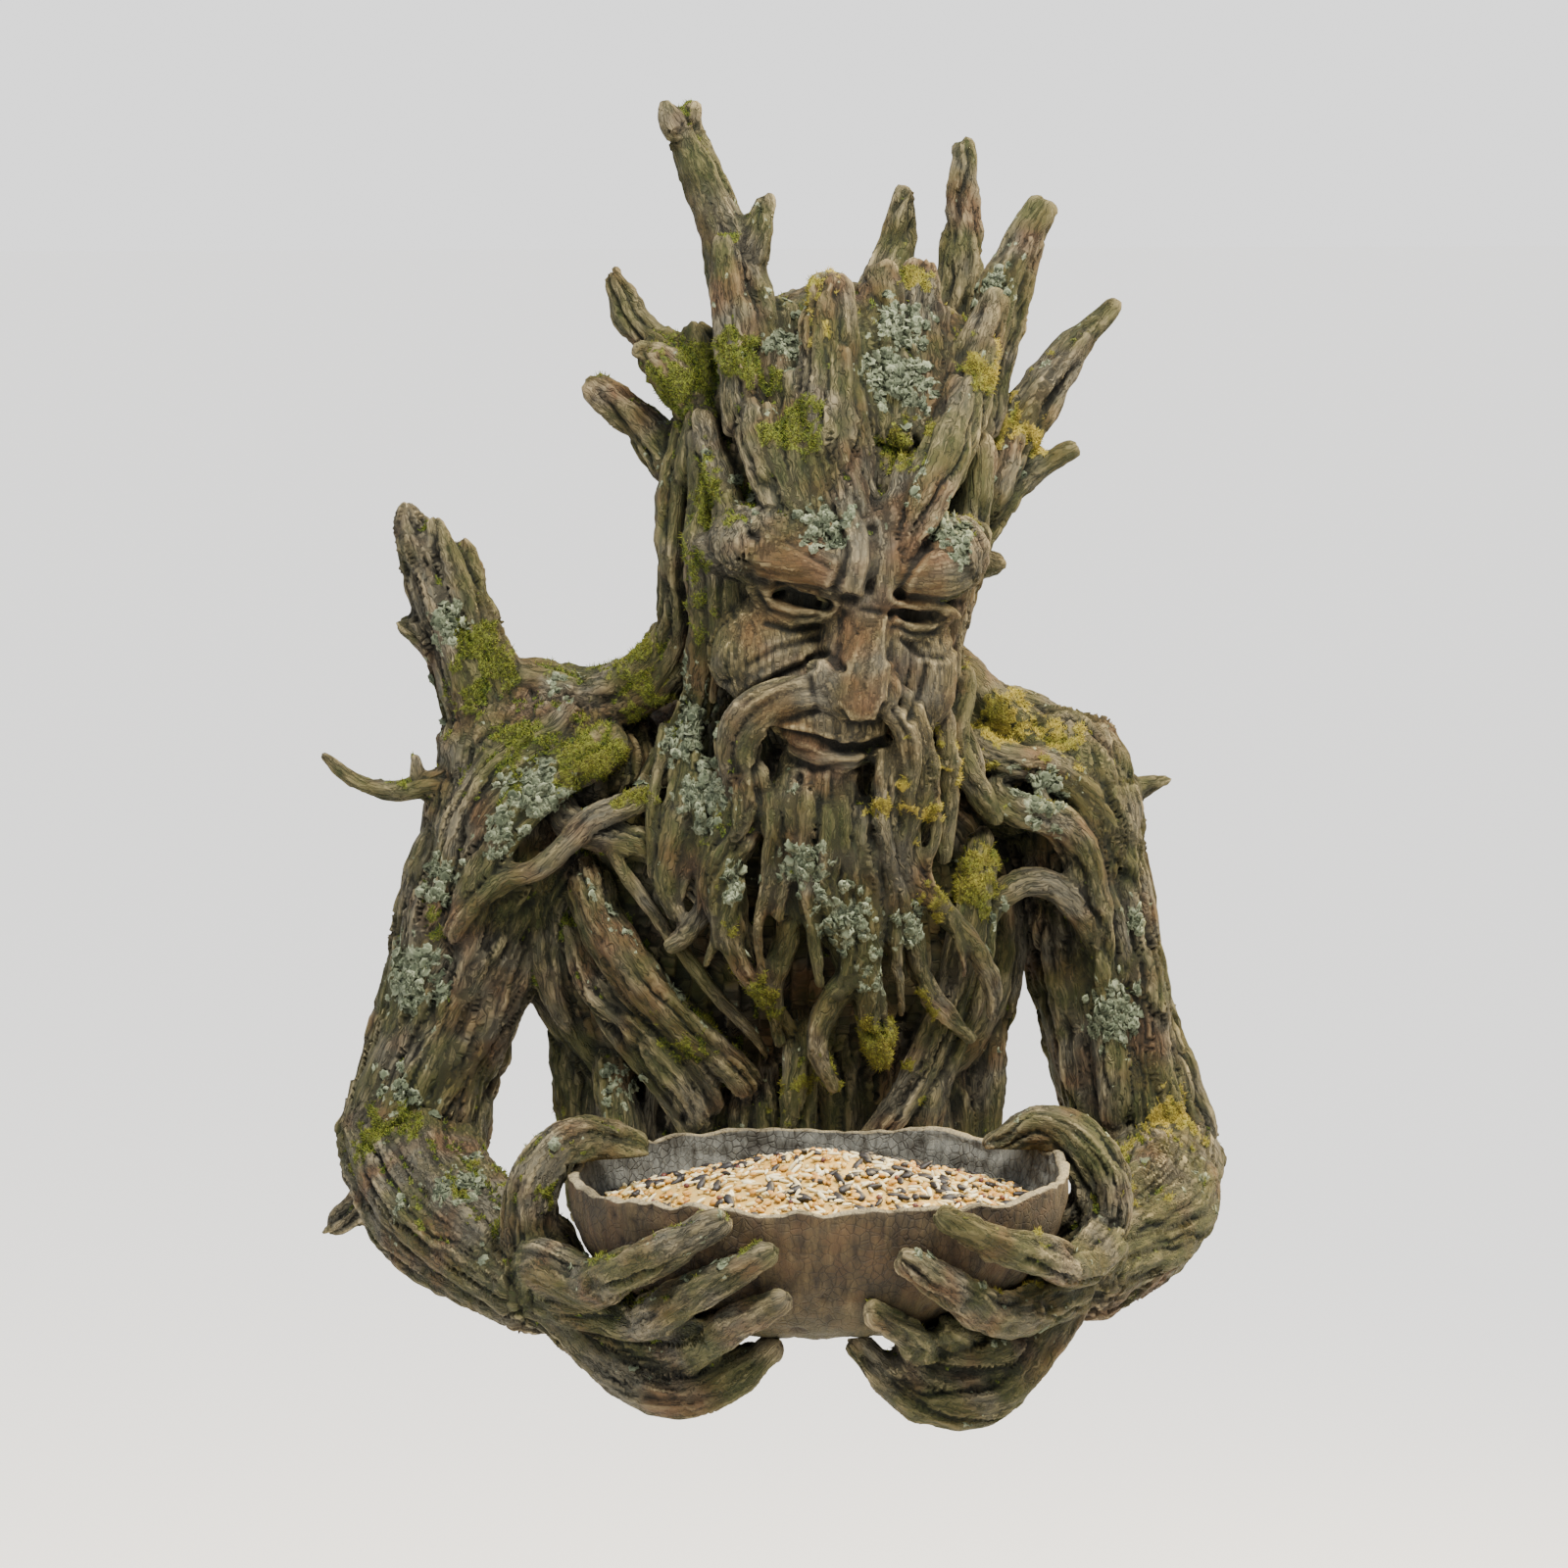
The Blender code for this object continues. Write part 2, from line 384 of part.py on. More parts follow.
def beside_dish(side, angle, height_share, gap):
    """A point beside the dish's wall, on the side of one hand."""
    turn = math.radians(angle)
    wide = dish_share(height_share)
    offset = gap * FINGER_RADIUS
    across = side * (DISH_WIDTH / 2 * wide + offset) * math.sin(turn)
    forward = (DISH_DEPTH / 2 * wide + offset) * math.cos(turn)
    return dish_middle() + Vector((across, -forward, DISH_HEIGHT * height_share))


def hand_route(side, rows):
    """The points and radii of one finger."""
    points = [beside_dish(side, angle, height, gap) for angle, height, gap, thick in rows]
    radii = [thick * FINGER_RADIUS for angle, height, gap, thick in rows]
    return points, radii


def dived(row, dive):
    """A strand's end, moved on into the wood."""
    across, up, depth, radius = row
    rise, further, thin = dive
    return across, up + rise, depth + further, radius * thin


def rooted(strands, tail=True):
    """Strands whose upper ends, and lower ones if wanted, dive into the wood that they lie on."""
    sunk = []
    for rows in strands:
        further = [dived(rows[0], ROOT_DIVE)] + rows
        if tail:
            further = further + [dived(rows[-1], TAIL_DIVE)]
        sunk.append(further)
    return sunk


def sheet_route(rows):
    """The points and radii of a strand on the drawing sheet."""
    points = [placed(across, up, depth) for across, up, depth, radius in rows]
    radii = [radius * SQUARE for across, up, depth, radius in rows]
    return points, radii


def bark_over(mass, turns, radius, low=-62, high=58, seed=0):
    """Ridges of bark up and down a rounded mass, at some turns round it, as rows for the sheet."""
    across, up, depth, half_width, half_height, half_depth = mass
    draw = random.Random(seed)
    ridges = []
    for turn in turns:
        rows = []
        for step in range(5):
            tilt = math.radians(low + (high - low) * step / 4)
            bend = math.radians(turn + draw.uniform(-4, 4))
            rows.append((
                across + half_width * math.cos(tilt) * math.sin(bend),
                up + half_height * math.sin(tilt),
                depth + half_depth * math.cos(tilt) * math.cos(bend),
                radius * draw.uniform(0.75, 1.2),
            ))
        ridges.append(rows)
    return ridges


def ridges_along(route, count, twist, seed=0):
    """Ridges of bark round a limb, as points and radii."""
    points, radii = route
    draw = random.Random(seed)
    ridges = []
    for number in range(count):
        ridge = []
        sizes = []
        start = math.tau * number / count
        for step, point in enumerate(points):
            before = points[max(step - 1, 0)]
            after = points[min(step + 1, len(points) - 1)]
            along = (after - before).normalized()
            aside = along.cross(Vector((0.2, 1, 0.1))).normalized()
            turn = start + twist * step + draw.uniform(-0.15, 0.15)
            outward = aside * math.cos(turn) + along.cross(aside) * math.sin(turn)
            ridge.append(point + outward * radii[step] * RIDGE_OUT)
            sizes.append(radii[step] * draw.uniform(*RIDGE_THICK))
        ridges.append((ridge, sizes))
    return ridges


def arm_routes():
    """The arms with their ridges, and the roots that run from each wrist into its fingers and thumb."""
    routes = []
    for seed, rows in enumerate(ARMS[:2]):
        routes += ridges_along(sheet_route(rows), 7, 0.25, seed)
    routes += ridges_along(sheet_route(SHOULDERS[1]), 5, 0.1, 7)
    for side in (-1, 1):
        elbow, elbow_radius = sheet_route([ELBOWS[side]])
        forearm, forearm_radius = sheet_route([FOREARMS[side]])
        wrist, wrist_radius = hand_route(side, [WRIST])
        lower_arm = (elbow + forearm + wrist, elbow_radius + forearm_radius + wrist_radius)
        routes.append(lower_arm)
        routes += ridges_along(lower_arm, 7, 0.35, 3 + side)
        for finger in FINGERS[side] + WEBS[side] + [THUMBS[side]]:
            points, radii = hand_route(side, finger)
            routes.append((wrist + points, [radii[0] * 1.15] + radii))
    return routes


def all_routes():
    """Every strand of the figure, as lists of points and radii in metres."""
    drawn = CROWN + BACK_STUBS + rooted(HEAD_SIDES) + BROWS + EYELIDS + NOSE + MOUTH
    drawn += rooted(BEARD, tail=False) + rooted(TORSO) + SHOULDERS[:10] + rooted(SHOULDERS[10:]) + ARMS
    drawn += bark_over(BELLY, (-66, -44, -24, -8, 12, 32, 52, 72), 1.7, seed=2)
    drawn += bark_over(CHEST, (-78, 78), 2, seed=4)
    drawn += bark_over(SKULL, (120, 150, 180, 210, 240), 2.2, seed=5)
    return [sheet_route(rows) for rows in drawn] + arm_routes()


def strands_mesh(routes, home):
    """The strands as round bars of changing thickness."""
    curve = bpy.data.curves.new("strands", "CURVE")
    curve.dimensions = "3D"
    curve.resolution_u = 6
    curve.bevel_depth = 1
    curve.bevel_resolution = 3
    curve.use_fill_caps = True
    for points, radii in routes:
        spline = curve.splines.new("BEZIER")
        spline.bezier_points.add(len(points) - 1)
        for knot, point, radius in zip(spline.bezier_points, points, radii):
            knot.co = point
            knot.radius = radius
            knot.handle_left_type = "AUTO"
            knot.handle_right_type = "AUTO"
    bars = object_of(curve, "strands", home)
    mesh = settled(bars)
    drop(bars)
    return mesh


def massed_mesh(strands):
    """The strands and the rounded masses in one mesh, still overlapping."""
    work = bmesh.new()
    work.from_mesh(strands)
    bmesh.ops.remove_doubles(work, verts=work.verts, dist=0.00001)
    for across, up, depth, half_width, half_height, half_depth in MASSES:
        size = Vector((half_width, half_depth, half_height)) * SQUARE
        spot = Matrix.Translation(placed(across, up, depth)) @ Matrix.Diagonal((*size, 1))
        bmesh.ops.create_uvsphere(work, u_segments=32, v_segments=20, radius=1, matrix=spot)
    mesh = bpy.data.meshes.new("masses")
    work.to_mesh(mesh)
    work.free()
    return mesh


def keep_largest_shell(mesh):
    """Leave only the outer skin, without the hollows that are closed in between strands."""
    work = bmesh.new()
    work.from_mesh(mesh)
    seen = set()
    shells = []
    for start in work.verts:
        if start in seen:
            continue
        shell = [start]
        seen.add(start)
        for vert in shell:
            for edge in vert.link_edges:
                other = edge.other_vert(vert)
                if other not in seen:
                    seen.add(other)
                    shell.append(other)
        shells.append(shell)
    shells.sort(key=len)
    spare = [vert for shell in shells[:-1] for vert in shell]
    bmesh.ops.delete(work, geom=spare, context="VERTS")
    work.to_mesh(mesh)
    work.free()


def stroke(mesh, route, half_width, depth):
    """Press a groove into a mesh along a route, or raise an edge where the depth is negative."""
    count = len(mesh.vertices)
    spots = np.empty(count * 3)
    mesh.vertices.foreach_get("co", spots)
    spots = spots.reshape(count, 3)
    normals = np.array([vert.normal for vert in mesh.vertices])
    away = np.full(count, np.inf)
    knots = [np.array(placed(*knot)) for knot in route]
    for start, end in zip(knots, knots[1:]):
        run = end - start
        along = np.clip((spots - start) @ run / (run @ run), 0, 1)
        away = np.minimum(away, np.linalg.norm(spots - start - along[:, None] * run, axis=1))
    reach = half_width * SQUARE * CUT_SPREAD
    press = np.clip(1 - (away / reach) ** 2, 0, 1) ** 2
    spots -= normals * (press * depth * SQUARE)[:, None]
    mesh.vertices.foreach_set("co", spots.ravel())
    mesh.update()


def cutter(mesh, name, home):
    """A mesh that only cuts."""
    made = object_of(mesh, name, home)
    made.hide_render = True
    made.display_type = "WIRE"
    return made


def box_mesh(name, low, high):
    """A box between two corners."""
    low, high = Vector(low), Vector(high)
    work = bmesh.new()
    middle = Matrix.Translation((low + high) / 2) @ Matrix.Diagonal((*(high - low), 1))
    bmesh.ops.create_cube(work, size=1, matrix=middle)
    mesh = bpy.data.meshes.new(name)
    work.to_mesh(mesh)
    work.free()
    return mesh


def slotted_mesh(name, across, low_radius, high_radius, near, far):
    """A block with a keyhole's outline, a round end with a slot above it, and flat ends near and far."""
    lean = math.acos(high_radius / low_radius)
    outline = []
    for step in range(ARC_STEPS + 1):
        turn = lean - (math.pi + 2 * lean) * step / ARC_STEPS
        outline.append((low_radius * math.cos(turn), low_radius * math.sin(turn)))
    for step in range(1, ARC_STEPS):
        turn = math.pi * (1 - step / ARC_STEPS)
        outline.append((high_radius * math.cos(turn), high_radius * math.sin(turn) + KEYHOLE_RISE))
    work = bmesh.new()
    face = work.faces.new([work.verts.new((across + aside, near, up)) for aside, up in outline])
    grown = bmesh.ops.extrude_face_region(work, geom=[face])["geom"]
    further = [item for item in grown if isinstance(item, bmesh.types.BMVert)]
    bmesh.ops.translate(work, verts=further, vec=(0, far - near, 0))
    bmesh.ops.recalc_face_normals(work, faces=work.faces)
    mesh = bpy.data.meshes.new(name)
    work.to_mesh(mesh)
    work.free()
    return mesh


def keyhole_cutters(side, tools):
    """One screw's keyhole: the round entry with its slot, and a wider pocket behind the slot."""
    across = side * KEYHOLE_SPACING / 2
    word = "left" if side < 0 else "right"
    head, slot, pocket = KEYHOLE_HEAD / 2, KEYHOLE_SLOT / 2, KEYHOLE_POCKET / 2
    deep = -KEYHOLE_DEPTH
    shallower = deep + KEYHOLE_STEP
    entry_mesh = slotted_mesh("keyhole_" + word, across, head, slot, KEYHOLE_PROUD, deep)
    pocket_mesh = slotted_mesh("pocket_" + word, across, pocket, pocket, -KEYHOLE_LIP, shallower)
    return [cutter(mesh, mesh.name, tools) for mesh in (entry_mesh, pocket_mesh)]


def turned(name, profile, squash, home, wave=0):
    """A turned solid, made oval, whose upper edge may rise and fall."""
    work = bmesh.new()
    knots = [work.verts.new((radius, 0, height)) for radius, height in profile]
    for first, second in zip(knots, knots[1:]):
        work.edges.new((first, second))
    mesh = bpy.data.meshes.new(name)
    work.to_mesh(mesh)
    work.free()
    item = object_of(mesh, name + "_profile", home)
    screw = item.modifiers.new("turn", "SCREW")
    screw.steps = DISH_SIDES
    screw.render_steps = DISH_SIDES
    screw.use_merge_vertices = True
    screw.merge_threshold = 0.0001
    made = settled(item)
    drop(item)
    work = bmesh.new()
    work.from_mesh(made)
    bmesh.ops.recalc_face_normals(work, faces=work.faces)
    work.to_mesh(made)
    work.free()
    top = max(height for radius, height in profile)
    for vert in made.vertices:
        turn = math.atan2(vert.co.y, vert.co.x)
        lift = max(vert.co.z / top, 0) ** RIM_WAVE_REACH
        ripple = sum(share * math.sin(waves * turn + start) for waves, start, share in RIM_WAVES)
        vert.co.z += wave * lift * ripple
        vert.co.y *= squash
        vert.co += dish_middle()
    return made


def dish_profile(grow=0):
    """The dish's outline, up its inside and down its outside, or the filled outline of a cutter."""
    radius = DISH_WIDTH / 2
    steps = (1, 0.92, 0.78, 0.6, 0.42, 0.26, 0.13, 0.04)
    outside = [(radius * dish_share(step) + grow, DISH_HEIGHT * step) for step in steps]
    outside.append((radius * DISH_FOOT_SHARE * 0.94 + grow, -grow))
    outside.append((0, -grow))
    if grow:
        above = DISH_HEIGHT + DISH_RIM_WAVE + grow
        return [(0, above), (outside[0][0], above)] + outside
    return inside_profile(DISH_WALL, 0) + outside


def inside_profile(wall, gap):
    """The dish's inner wall, from the middle of its floor up, with a step where the seed ends."""
    radius = DISH_WIDTH / 2
    rows = [(0, DISH_FLOOR + gap), (radius * DISH_FOOT_SHARE * 0.8, DISH_FLOOR + gap)]
    for step in sorted({0.3, 0.45, 0.6, SEED_FILL, 0.9, 1}):
        thick = wall * (1 + 0.5 * (1 - step))
        rows.append((radius * dish_share(step - 0.1 * (1 - step)) - thick - gap, DISH_HEIGHT * step))
    return rows


def seed_profile():
    """The heap of seed: a cone with a blunt top over the dish's inner wall."""
    edge = DISH_HEIGHT * SEED_FILL
    wall = [row for row in inside_profile(DISH_WALL, SEED_GAP) if row[1] <= edge * 1.0001]
    edge_radius = wall[-1][0]
    dome = []
    for share in (0.85, 0.65, 0.42, 0.2, 0):
        dome.append((edge_radius * share, edge + SEED_CROWN * (1 - share ** SEED_SLOPE)))
    return list(reversed(dome)) + list(reversed(wall))


def build_dish(home, finish):
    """The hollowed dish."""
    mesh = turned("feeding_bowl", dish_profile(), DISH_DEPTH / DISH_WIDTH, home, wave=DISH_RIM_WAVE)
    return object_of(mesh, "feeding_bowl", home, finish)


def build_seed(home, finish):
    """The heap of loose seed."""
    mesh = turned("bird_seed", seed_profile(), DISH_DEPTH / DISH_WIDTH, home)
    return object_of(mesh, "bird_seed", home, finish)


def build_figure(home, tools, finish):
    """The carved figure: its forms united, its face cut, then its flat back and the dish's seat."""
    raw = object_of(massed_mesh(strands_mesh(all_routes(), tools)), "rough", tools)
    unite = raw.modifiers.new("unite", "REMESH")
    unite.mode = "VOXEL"
    unite.voxel_size = VOXEL
    soften = raw.modifiers.new("soften", "SMOOTH")
    soften.factor = 0.5
    soften.iterations = 2
    mesh = settled(raw)
    drop(raw)
    keep_largest_shell(mesh)
    for route, half_width, depth in FACE_CUTS:
        stroke(mesh, route, half_width, depth)
    figure = object_of(mesh, "tree_figure", home, finish)
    face_group = figure.vertex_groups.new(name="face")
    for vert in mesh.vertices:
        away = (vert.co - placed(*FACE_MIDDLE)).length / (FACE_REACH * SQUARE)
        kept = LEAST_KEPT + (1 - LEAST_KEPT) * max(0, 1 - away ** 2)
        face_group.add([vert.index], kept, "REPLACE")
    thin = figure.modifiers.new("facet", "DECIMATE")
    thin.ratio = FIGURE_FACES / (2 * len(mesh.polygons))
    thin.vertex_group = "face"
    thin.invert_vertex_group = True
    thin.vertex_group_factor = FACE_KEPT
    far = FIGURE_HEIGHT
    behind = cutter(box_mesh("wall_side", (-far, 0, -far), (far, far, far)), "wall_side", tools)
    seat_mesh = turned("dish_seat", dish_profile(DISH_SEAT_GAP), DISH_DEPTH / DISH_WIDTH, tools)
    seat = cutter(seat_mesh, "dish_seat", tools)
    for tool in [behind, seat] + keyhole_cutters(-1, tools) + keyhole_cutters(1, tools):
        cut = figure.modifiers.new(tool.name, "BOOLEAN")
        cut.operation = "DIFFERENCE"
        cut.solver = "MANIFOLD"      # the thinned facets cross here and there, where EXACT leaves slits
        cut.object = tool
    return figure


def main():
    """Build the feeder."""
    remove_all()
    home = collection("tree_face_bird_feeder")
    tools = collection("cutters")
    bark = material("weathered wood", (0.20, 0.15, 0.09), 0.85)
    bowl_wood = material("hewn bowl wood", (0.27, 0.20, 0.13), 0.7)
    grain = material("mixed seed", (0.62, 0.48, 0.24), 0.7)
    build_figure(home, tools, bark)
    build_dish(home, bowl_wood)
    build_seed(home, grain)


main()
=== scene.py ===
import math
import random
import time

import bmesh
import bpy
import numpy as np
from mathutils import Matrix, Vector
from mathutils.kdtree import KDTree


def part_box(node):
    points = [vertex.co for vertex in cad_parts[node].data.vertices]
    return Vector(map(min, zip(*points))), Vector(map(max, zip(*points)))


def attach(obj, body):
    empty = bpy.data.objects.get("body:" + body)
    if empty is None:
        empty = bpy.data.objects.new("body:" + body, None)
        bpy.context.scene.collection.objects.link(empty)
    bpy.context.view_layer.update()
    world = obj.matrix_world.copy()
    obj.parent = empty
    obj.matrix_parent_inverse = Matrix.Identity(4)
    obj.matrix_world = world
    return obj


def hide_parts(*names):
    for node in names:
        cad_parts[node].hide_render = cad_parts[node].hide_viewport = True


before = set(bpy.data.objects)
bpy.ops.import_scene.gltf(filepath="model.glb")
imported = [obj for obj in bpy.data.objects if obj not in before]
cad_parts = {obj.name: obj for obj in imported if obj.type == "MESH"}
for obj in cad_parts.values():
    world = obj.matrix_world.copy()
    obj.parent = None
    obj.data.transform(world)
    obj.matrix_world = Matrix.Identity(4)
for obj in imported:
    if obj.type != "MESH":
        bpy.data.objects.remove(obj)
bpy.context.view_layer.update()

# Tree face bird feeder: a weathered tree spirit with a crown of broken branches, grown over with moss and
# lichen, that holds out a hewn dish of seed. The carved wood is drawn again from the same strands as the
# solid, on a finer grid, then given its fibres, cracks and growth.

started = time.time()


def report(stage):
    print("stage: %s, %.0f s" % (stage, time.time() - started), flush=True)


# what the frame gives

figureLow, figureHigh = [Vector(corner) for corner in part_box("tree_figure")]
dishLow, dishHigh = [Vector(corner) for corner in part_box("feeding_bowl")]
seedHigh = Vector(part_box("bird_seed")[1])

# the drawing sheet: the figure as seen from a little to its right and a little above
sheet = {
    "squaresHigh": 127.27,      # squares between the lowest finger and the tallest tip
    "lowest": 3.1,              # the lowest finger's height on the sheet, at the hands' depth
    "turn": math.radians(7),
    "drop": math.radians(7.5),
    "distance": 517,            # squares from the eye to the middle of the sheet
    "middleUp": 61.5,
    "middleDepth": 22,
}
square = (figureHigh.z - figureLow.z) / sheet["squaresHigh"]
sightRight = Vector((math.cos(sheet["turn"]), -math.sin(sheet["turn"]), 0))
sightAhead = Vector((
    math.sin(sheet["turn"]) * math.cos(sheet["drop"]),
    math.cos(sheet["turn"]) * math.cos(sheet["drop"]),
    -math.sin(sheet["drop"]),
))
sightUp = sightRight.cross(sightAhead)
sheetMiddle = Vector((
    0,
    -sheet["middleDepth"] * square,
    (sheet["middleUp"] - sheet["lowest"]) * square + figureLow.z,
))


def placed(across, up, depth):
    # the place in space of a point of the sheet
    aim = sightAhead * sheet["distance"] + sightRight * across + sightUp * (up - sheet["middleUp"])
    eye = -sightAhead * sheet["distance"]
    reach = (sheet["middleDepth"] - depth - eye.y) / aim.y
    return sheetMiddle + (eye + aim * reach) * square


def onSheet(spots):
    # across, up and depth on the sheet of many points in space
    local = (spots - np.array(sheetMiddle)) / square
    ahead = sheet["distance"] + local @ np.array(sightAhead)
    across = local @ np.array(sightRight) / ahead * sheet["distance"]
    up = local @ np.array(sightUp) / ahead * sheet["distance"] + sheet["middleUp"]
    depth = -spots[:, 1] / square
    return across, up, depth


# the drawing: points of (across, up, depth, radius) in squares, as in the solid

skull = (5, 87.5, 17.5, 16, 21, 14.5)
chest = (-1, 46, 11.5, 25, 21, 14.5)
belly = (0, 27, 10.5, 20, 21, 13)
masses = [
    skull,
    chest,
    belly,
    (6, 101, 17, 16.5, 11.5, 12),           # crown of the head
    (4.5, 66, 16, 13, 17, 12.5),            # jaw and neck
    (5.8, 77, 21, 12.6, 17, 12.6),          # the face's ground
    (-24, 64.5, 12, 12, 8, 9),              # left shoulder
    (-29.5, 56, 12, 7.5, 12, 9),
    (26, 62.5, 12, 10, 7.5, 9),             # right shoulder
    (29.5, 56.5, 12, 7.5, 11, 9),
    (0.2, 86.2, 31.6, 8, 4.6, 4.6),         # brows
    (16.2, 84.8, 31.8, 5, 4.2, 4.6),
    (9.2, 84.5, 33, 3.6, 6.5, 4),           # between the brows
    (8.2, 75, 33.8, 4.4, 8, 4.2),           # root and sides of the nose
    (-1.4, 74.8, 30.4, 6, 5.8, 4.6),        # cheeks
    (14, 72.8, 32, 3.8, 5.8, 4),
    (4.8, 67.8, 35.4, 5.8, 3, 3.2),         # upper lip
    (3.6, 61, 32.8, 4.6, 6.4, 4.2),         # chin
    (2.2, 80.4, 31.4, 3.2, 2.3, 3),         # eyeballs
    (13.6, 78.8, 32.2, 2.8, 2.1, 3),
    (7.8, 69.6, 39.2, 2.6, 2, 2.2),         # tip of the nose
    (4.2, 72.7, 36.8, 1.9, 1.8, 2),         # its wings
    (10.8, 71.3, 37.8, 1.4, 1.7, 1.8),
    (0, 60, 6, 20, 15, 12),                 # pad behind the shoulders, which the screws hold
]
crown = [
    [(-1, 99.5, 24, 3.8), (-3.5, 109.5, 23, 3.2), (-6.5, 119, 21, 2.7), (-9.5, 126.5, 20, 2.1),
     (-10, 128, 20, 1.8)],
    [(-9.6, 126.5, 20, 1.5), (-11.6, 129.6, 20, 1.2), (-12.2, 131, 20, 0.8)],
    [(-9.2, 126.5, 19.5, 1.5), (-9.6, 129.5, 19.5, 1.1), (-9.3, 130.8, 19.5, 0.8)],
    [(-3.4, 115, 23, 2), (-2.4, 118.5, 23, 1.6), (-2, 121.2, 22.5, 1)],
    [(-6.2, 117, 25, 1.2), (-5.8, 112, 26.5, 1.7), (-5, 107, 27, 2.2), (-4, 98, 28, 2.3)],
    [(-17.6, 113.7, 14, 1.2), (-15, 108.5, 15, 1.9), (-11, 104.5, 17, 2.6), (-6, 99, 20, 3.2)],
    [(-14.4, 105.4, 18, 1.5), (-12, 104.2, 19.5, 2.2), (-8, 99.5, 21, 2.6)],
    [(-19.2, 102.2, 15, 1.6), (-15, 98.6, 16, 2.4), (-11, 93.5, 18, 3)],
    [(4.6, 112.6, 27, 2.3), (4.5, 107, 28.5, 2.8), (5, 97.5, 31, 3.6), (7, 88.5, 33, 3)],
    [(18.8, 102.2, 28, 1.8), (17, 96.5, 31, 2.9), (14, 89.5, 34, 3), (11.4, 84.5, 35, 2)],
    [(21.8, 111.2, 24, 1.5), (20, 106.5, 25, 2.2), (18, 99, 27, 2.8)],
    [(26.4, 120.3, 17, 1.6), (24, 115.5, 18, 2.2), (21.5, 108.5, 19, 3), (19, 98, 21, 3.4)],
    [(18.5, 126.6, 8, 1.5), (18, 120.5, 9, 2.1), (18.3, 115.5, 10, 2.6), (17, 104, 13, 3.2)],
    [(12.6, 121.9, 9, 1.3), (11.5, 116.5, 10, 2.1), (9.6, 111.5, 12, 2.8), (8, 103, 15, 3)],
    [(33.8, 110.5, 14, 0.9), (29, 105.5, 15, 1.9), (25, 99.5, 17, 2.9), (20, 91, 19, 3)],
    [(29.4, 95.8, 18, 1), (25.5, 93.5, 19, 1.5), (22.5, 91, 20, 2), (19, 86, 22, 2)],
    [(-4, 103, 27, 1.3), (-3, 96.5, 30.5, 1.8), (0.5, 87, 34, 1.6)],
    [(-8.2, 99, 24, 1.3), (-7, 94, 27, 1.5), (-5, 87.5, 31.5, 1.4)],
    [(12.2, 94.5, 32.5, 1.1), (11.6, 90, 34.5, 1.6), (10, 85, 35.5, 1.4)],
    [(1.2, 103, 29, 1.2), (1.4, 96, 32, 1.5), (3, 87, 35, 1.5)],
    [(-0.5, 110, 23, 1.8), (0, 102, 26.5, 2.2), (1, 93, 30.5, 2)],
    [(10, 113.5, 20, 2), (10, 106, 24.5, 2.8), (10.5, 97, 29, 2.8)],
    [(14, 114, 19, 1.8), (14, 106, 23.5, 2.8), (14.5, 97, 28, 2.8)],
    [(-9, 108, 18, 1.6), (-8, 101, 21, 2.4), (-9, 93, 23, 2.2)],
]
backStubs = [
    [(-4, 112, 5, 1.2), (-3, 106, 7, 2.2), (0, 98, 10, 3)],
    [(-12, 92, 5, 1.1), (-9, 90, 7, 2), (-4, 86, 10, 2.8)],
    [(22, 84, 7, 1.2), (18, 84, 8, 2), (12, 82, 11, 2.8)],
    [(6, 111, 6, 1.4), (6, 105, 8, 2.4), (7, 98, 11, 3)],
]
headSides = [
    [(-9.5, 99, 19, 2), (-11.3, 90, 20, 2.1), (-11, 82, 21, 2), (-11.5, 76, 20, 2.2),
     (-15, 71.5, 17, 2.6),
     (-21, 68.5, 14, 2.6)],
    [(-7.5, 95, 25, 1.6), (-8.6, 86, 27, 1.8), (-8, 77, 26.5, 1.8), (-9, 69, 24, 2),
     (-13, 61, 21, 2.2)],
    [(23, 96, 20, 2), (20, 88, 21, 2), (16.8, 80, 21, 2), (16.2, 74, 20, 2.2), (19, 68.6, 17, 2.2),
     (26, 67, 14, 2.4)],
    [(20, 95, 27, 1.8), (18.8, 87, 28.5, 1.9), (16.8, 78, 28, 1.5), (16.8, 70, 26, 1.6),
     (19, 63, 25, 1.6)],
    [(-6, 97, 6, 2.4), (-8, 84, 6.5, 2.4), (-8, 72, 7, 2.4), (-13, 64, 5, 2.6)],
    [(4, 99, 4.5, 2.6), (3, 84, 4.5, 2.6), (3, 70, 5, 2.6), (1, 60, 3, 2.8)],
    [(16, 98, 6, 2.4), (16, 84, 6, 2.4), (15, 72, 7, 2.4), (18, 64, 5, 2.6)],
]
brows = [
    [(-7.6, 85.4, 29, 1.8), (-4, 85, 32.4, 2.5), (0.6, 84.3, 34.6, 2.6), (4.6, 83.2, 36, 2.3),
     (7, 81.8, 36.8, 1.4)],
    [(6.2, 92, 33.8, 1.6), (6.9, 88, 35.6, 1.9), (7.5, 84.6, 36.9, 2), (7.1, 82, 37.4, 1.6)],
    [(10.6, 89, 34.8, 1.2), (10.7, 84, 36.4, 1.3), (10.2, 80.8, 36.6, 1.2)],
    [(12.4, 82.6, 36.4, 1.7), (15.2, 82.8, 35.8, 2.5), (18, 83.8, 33.2, 2.4), (19.6, 86.4, 30, 1.8)],
]
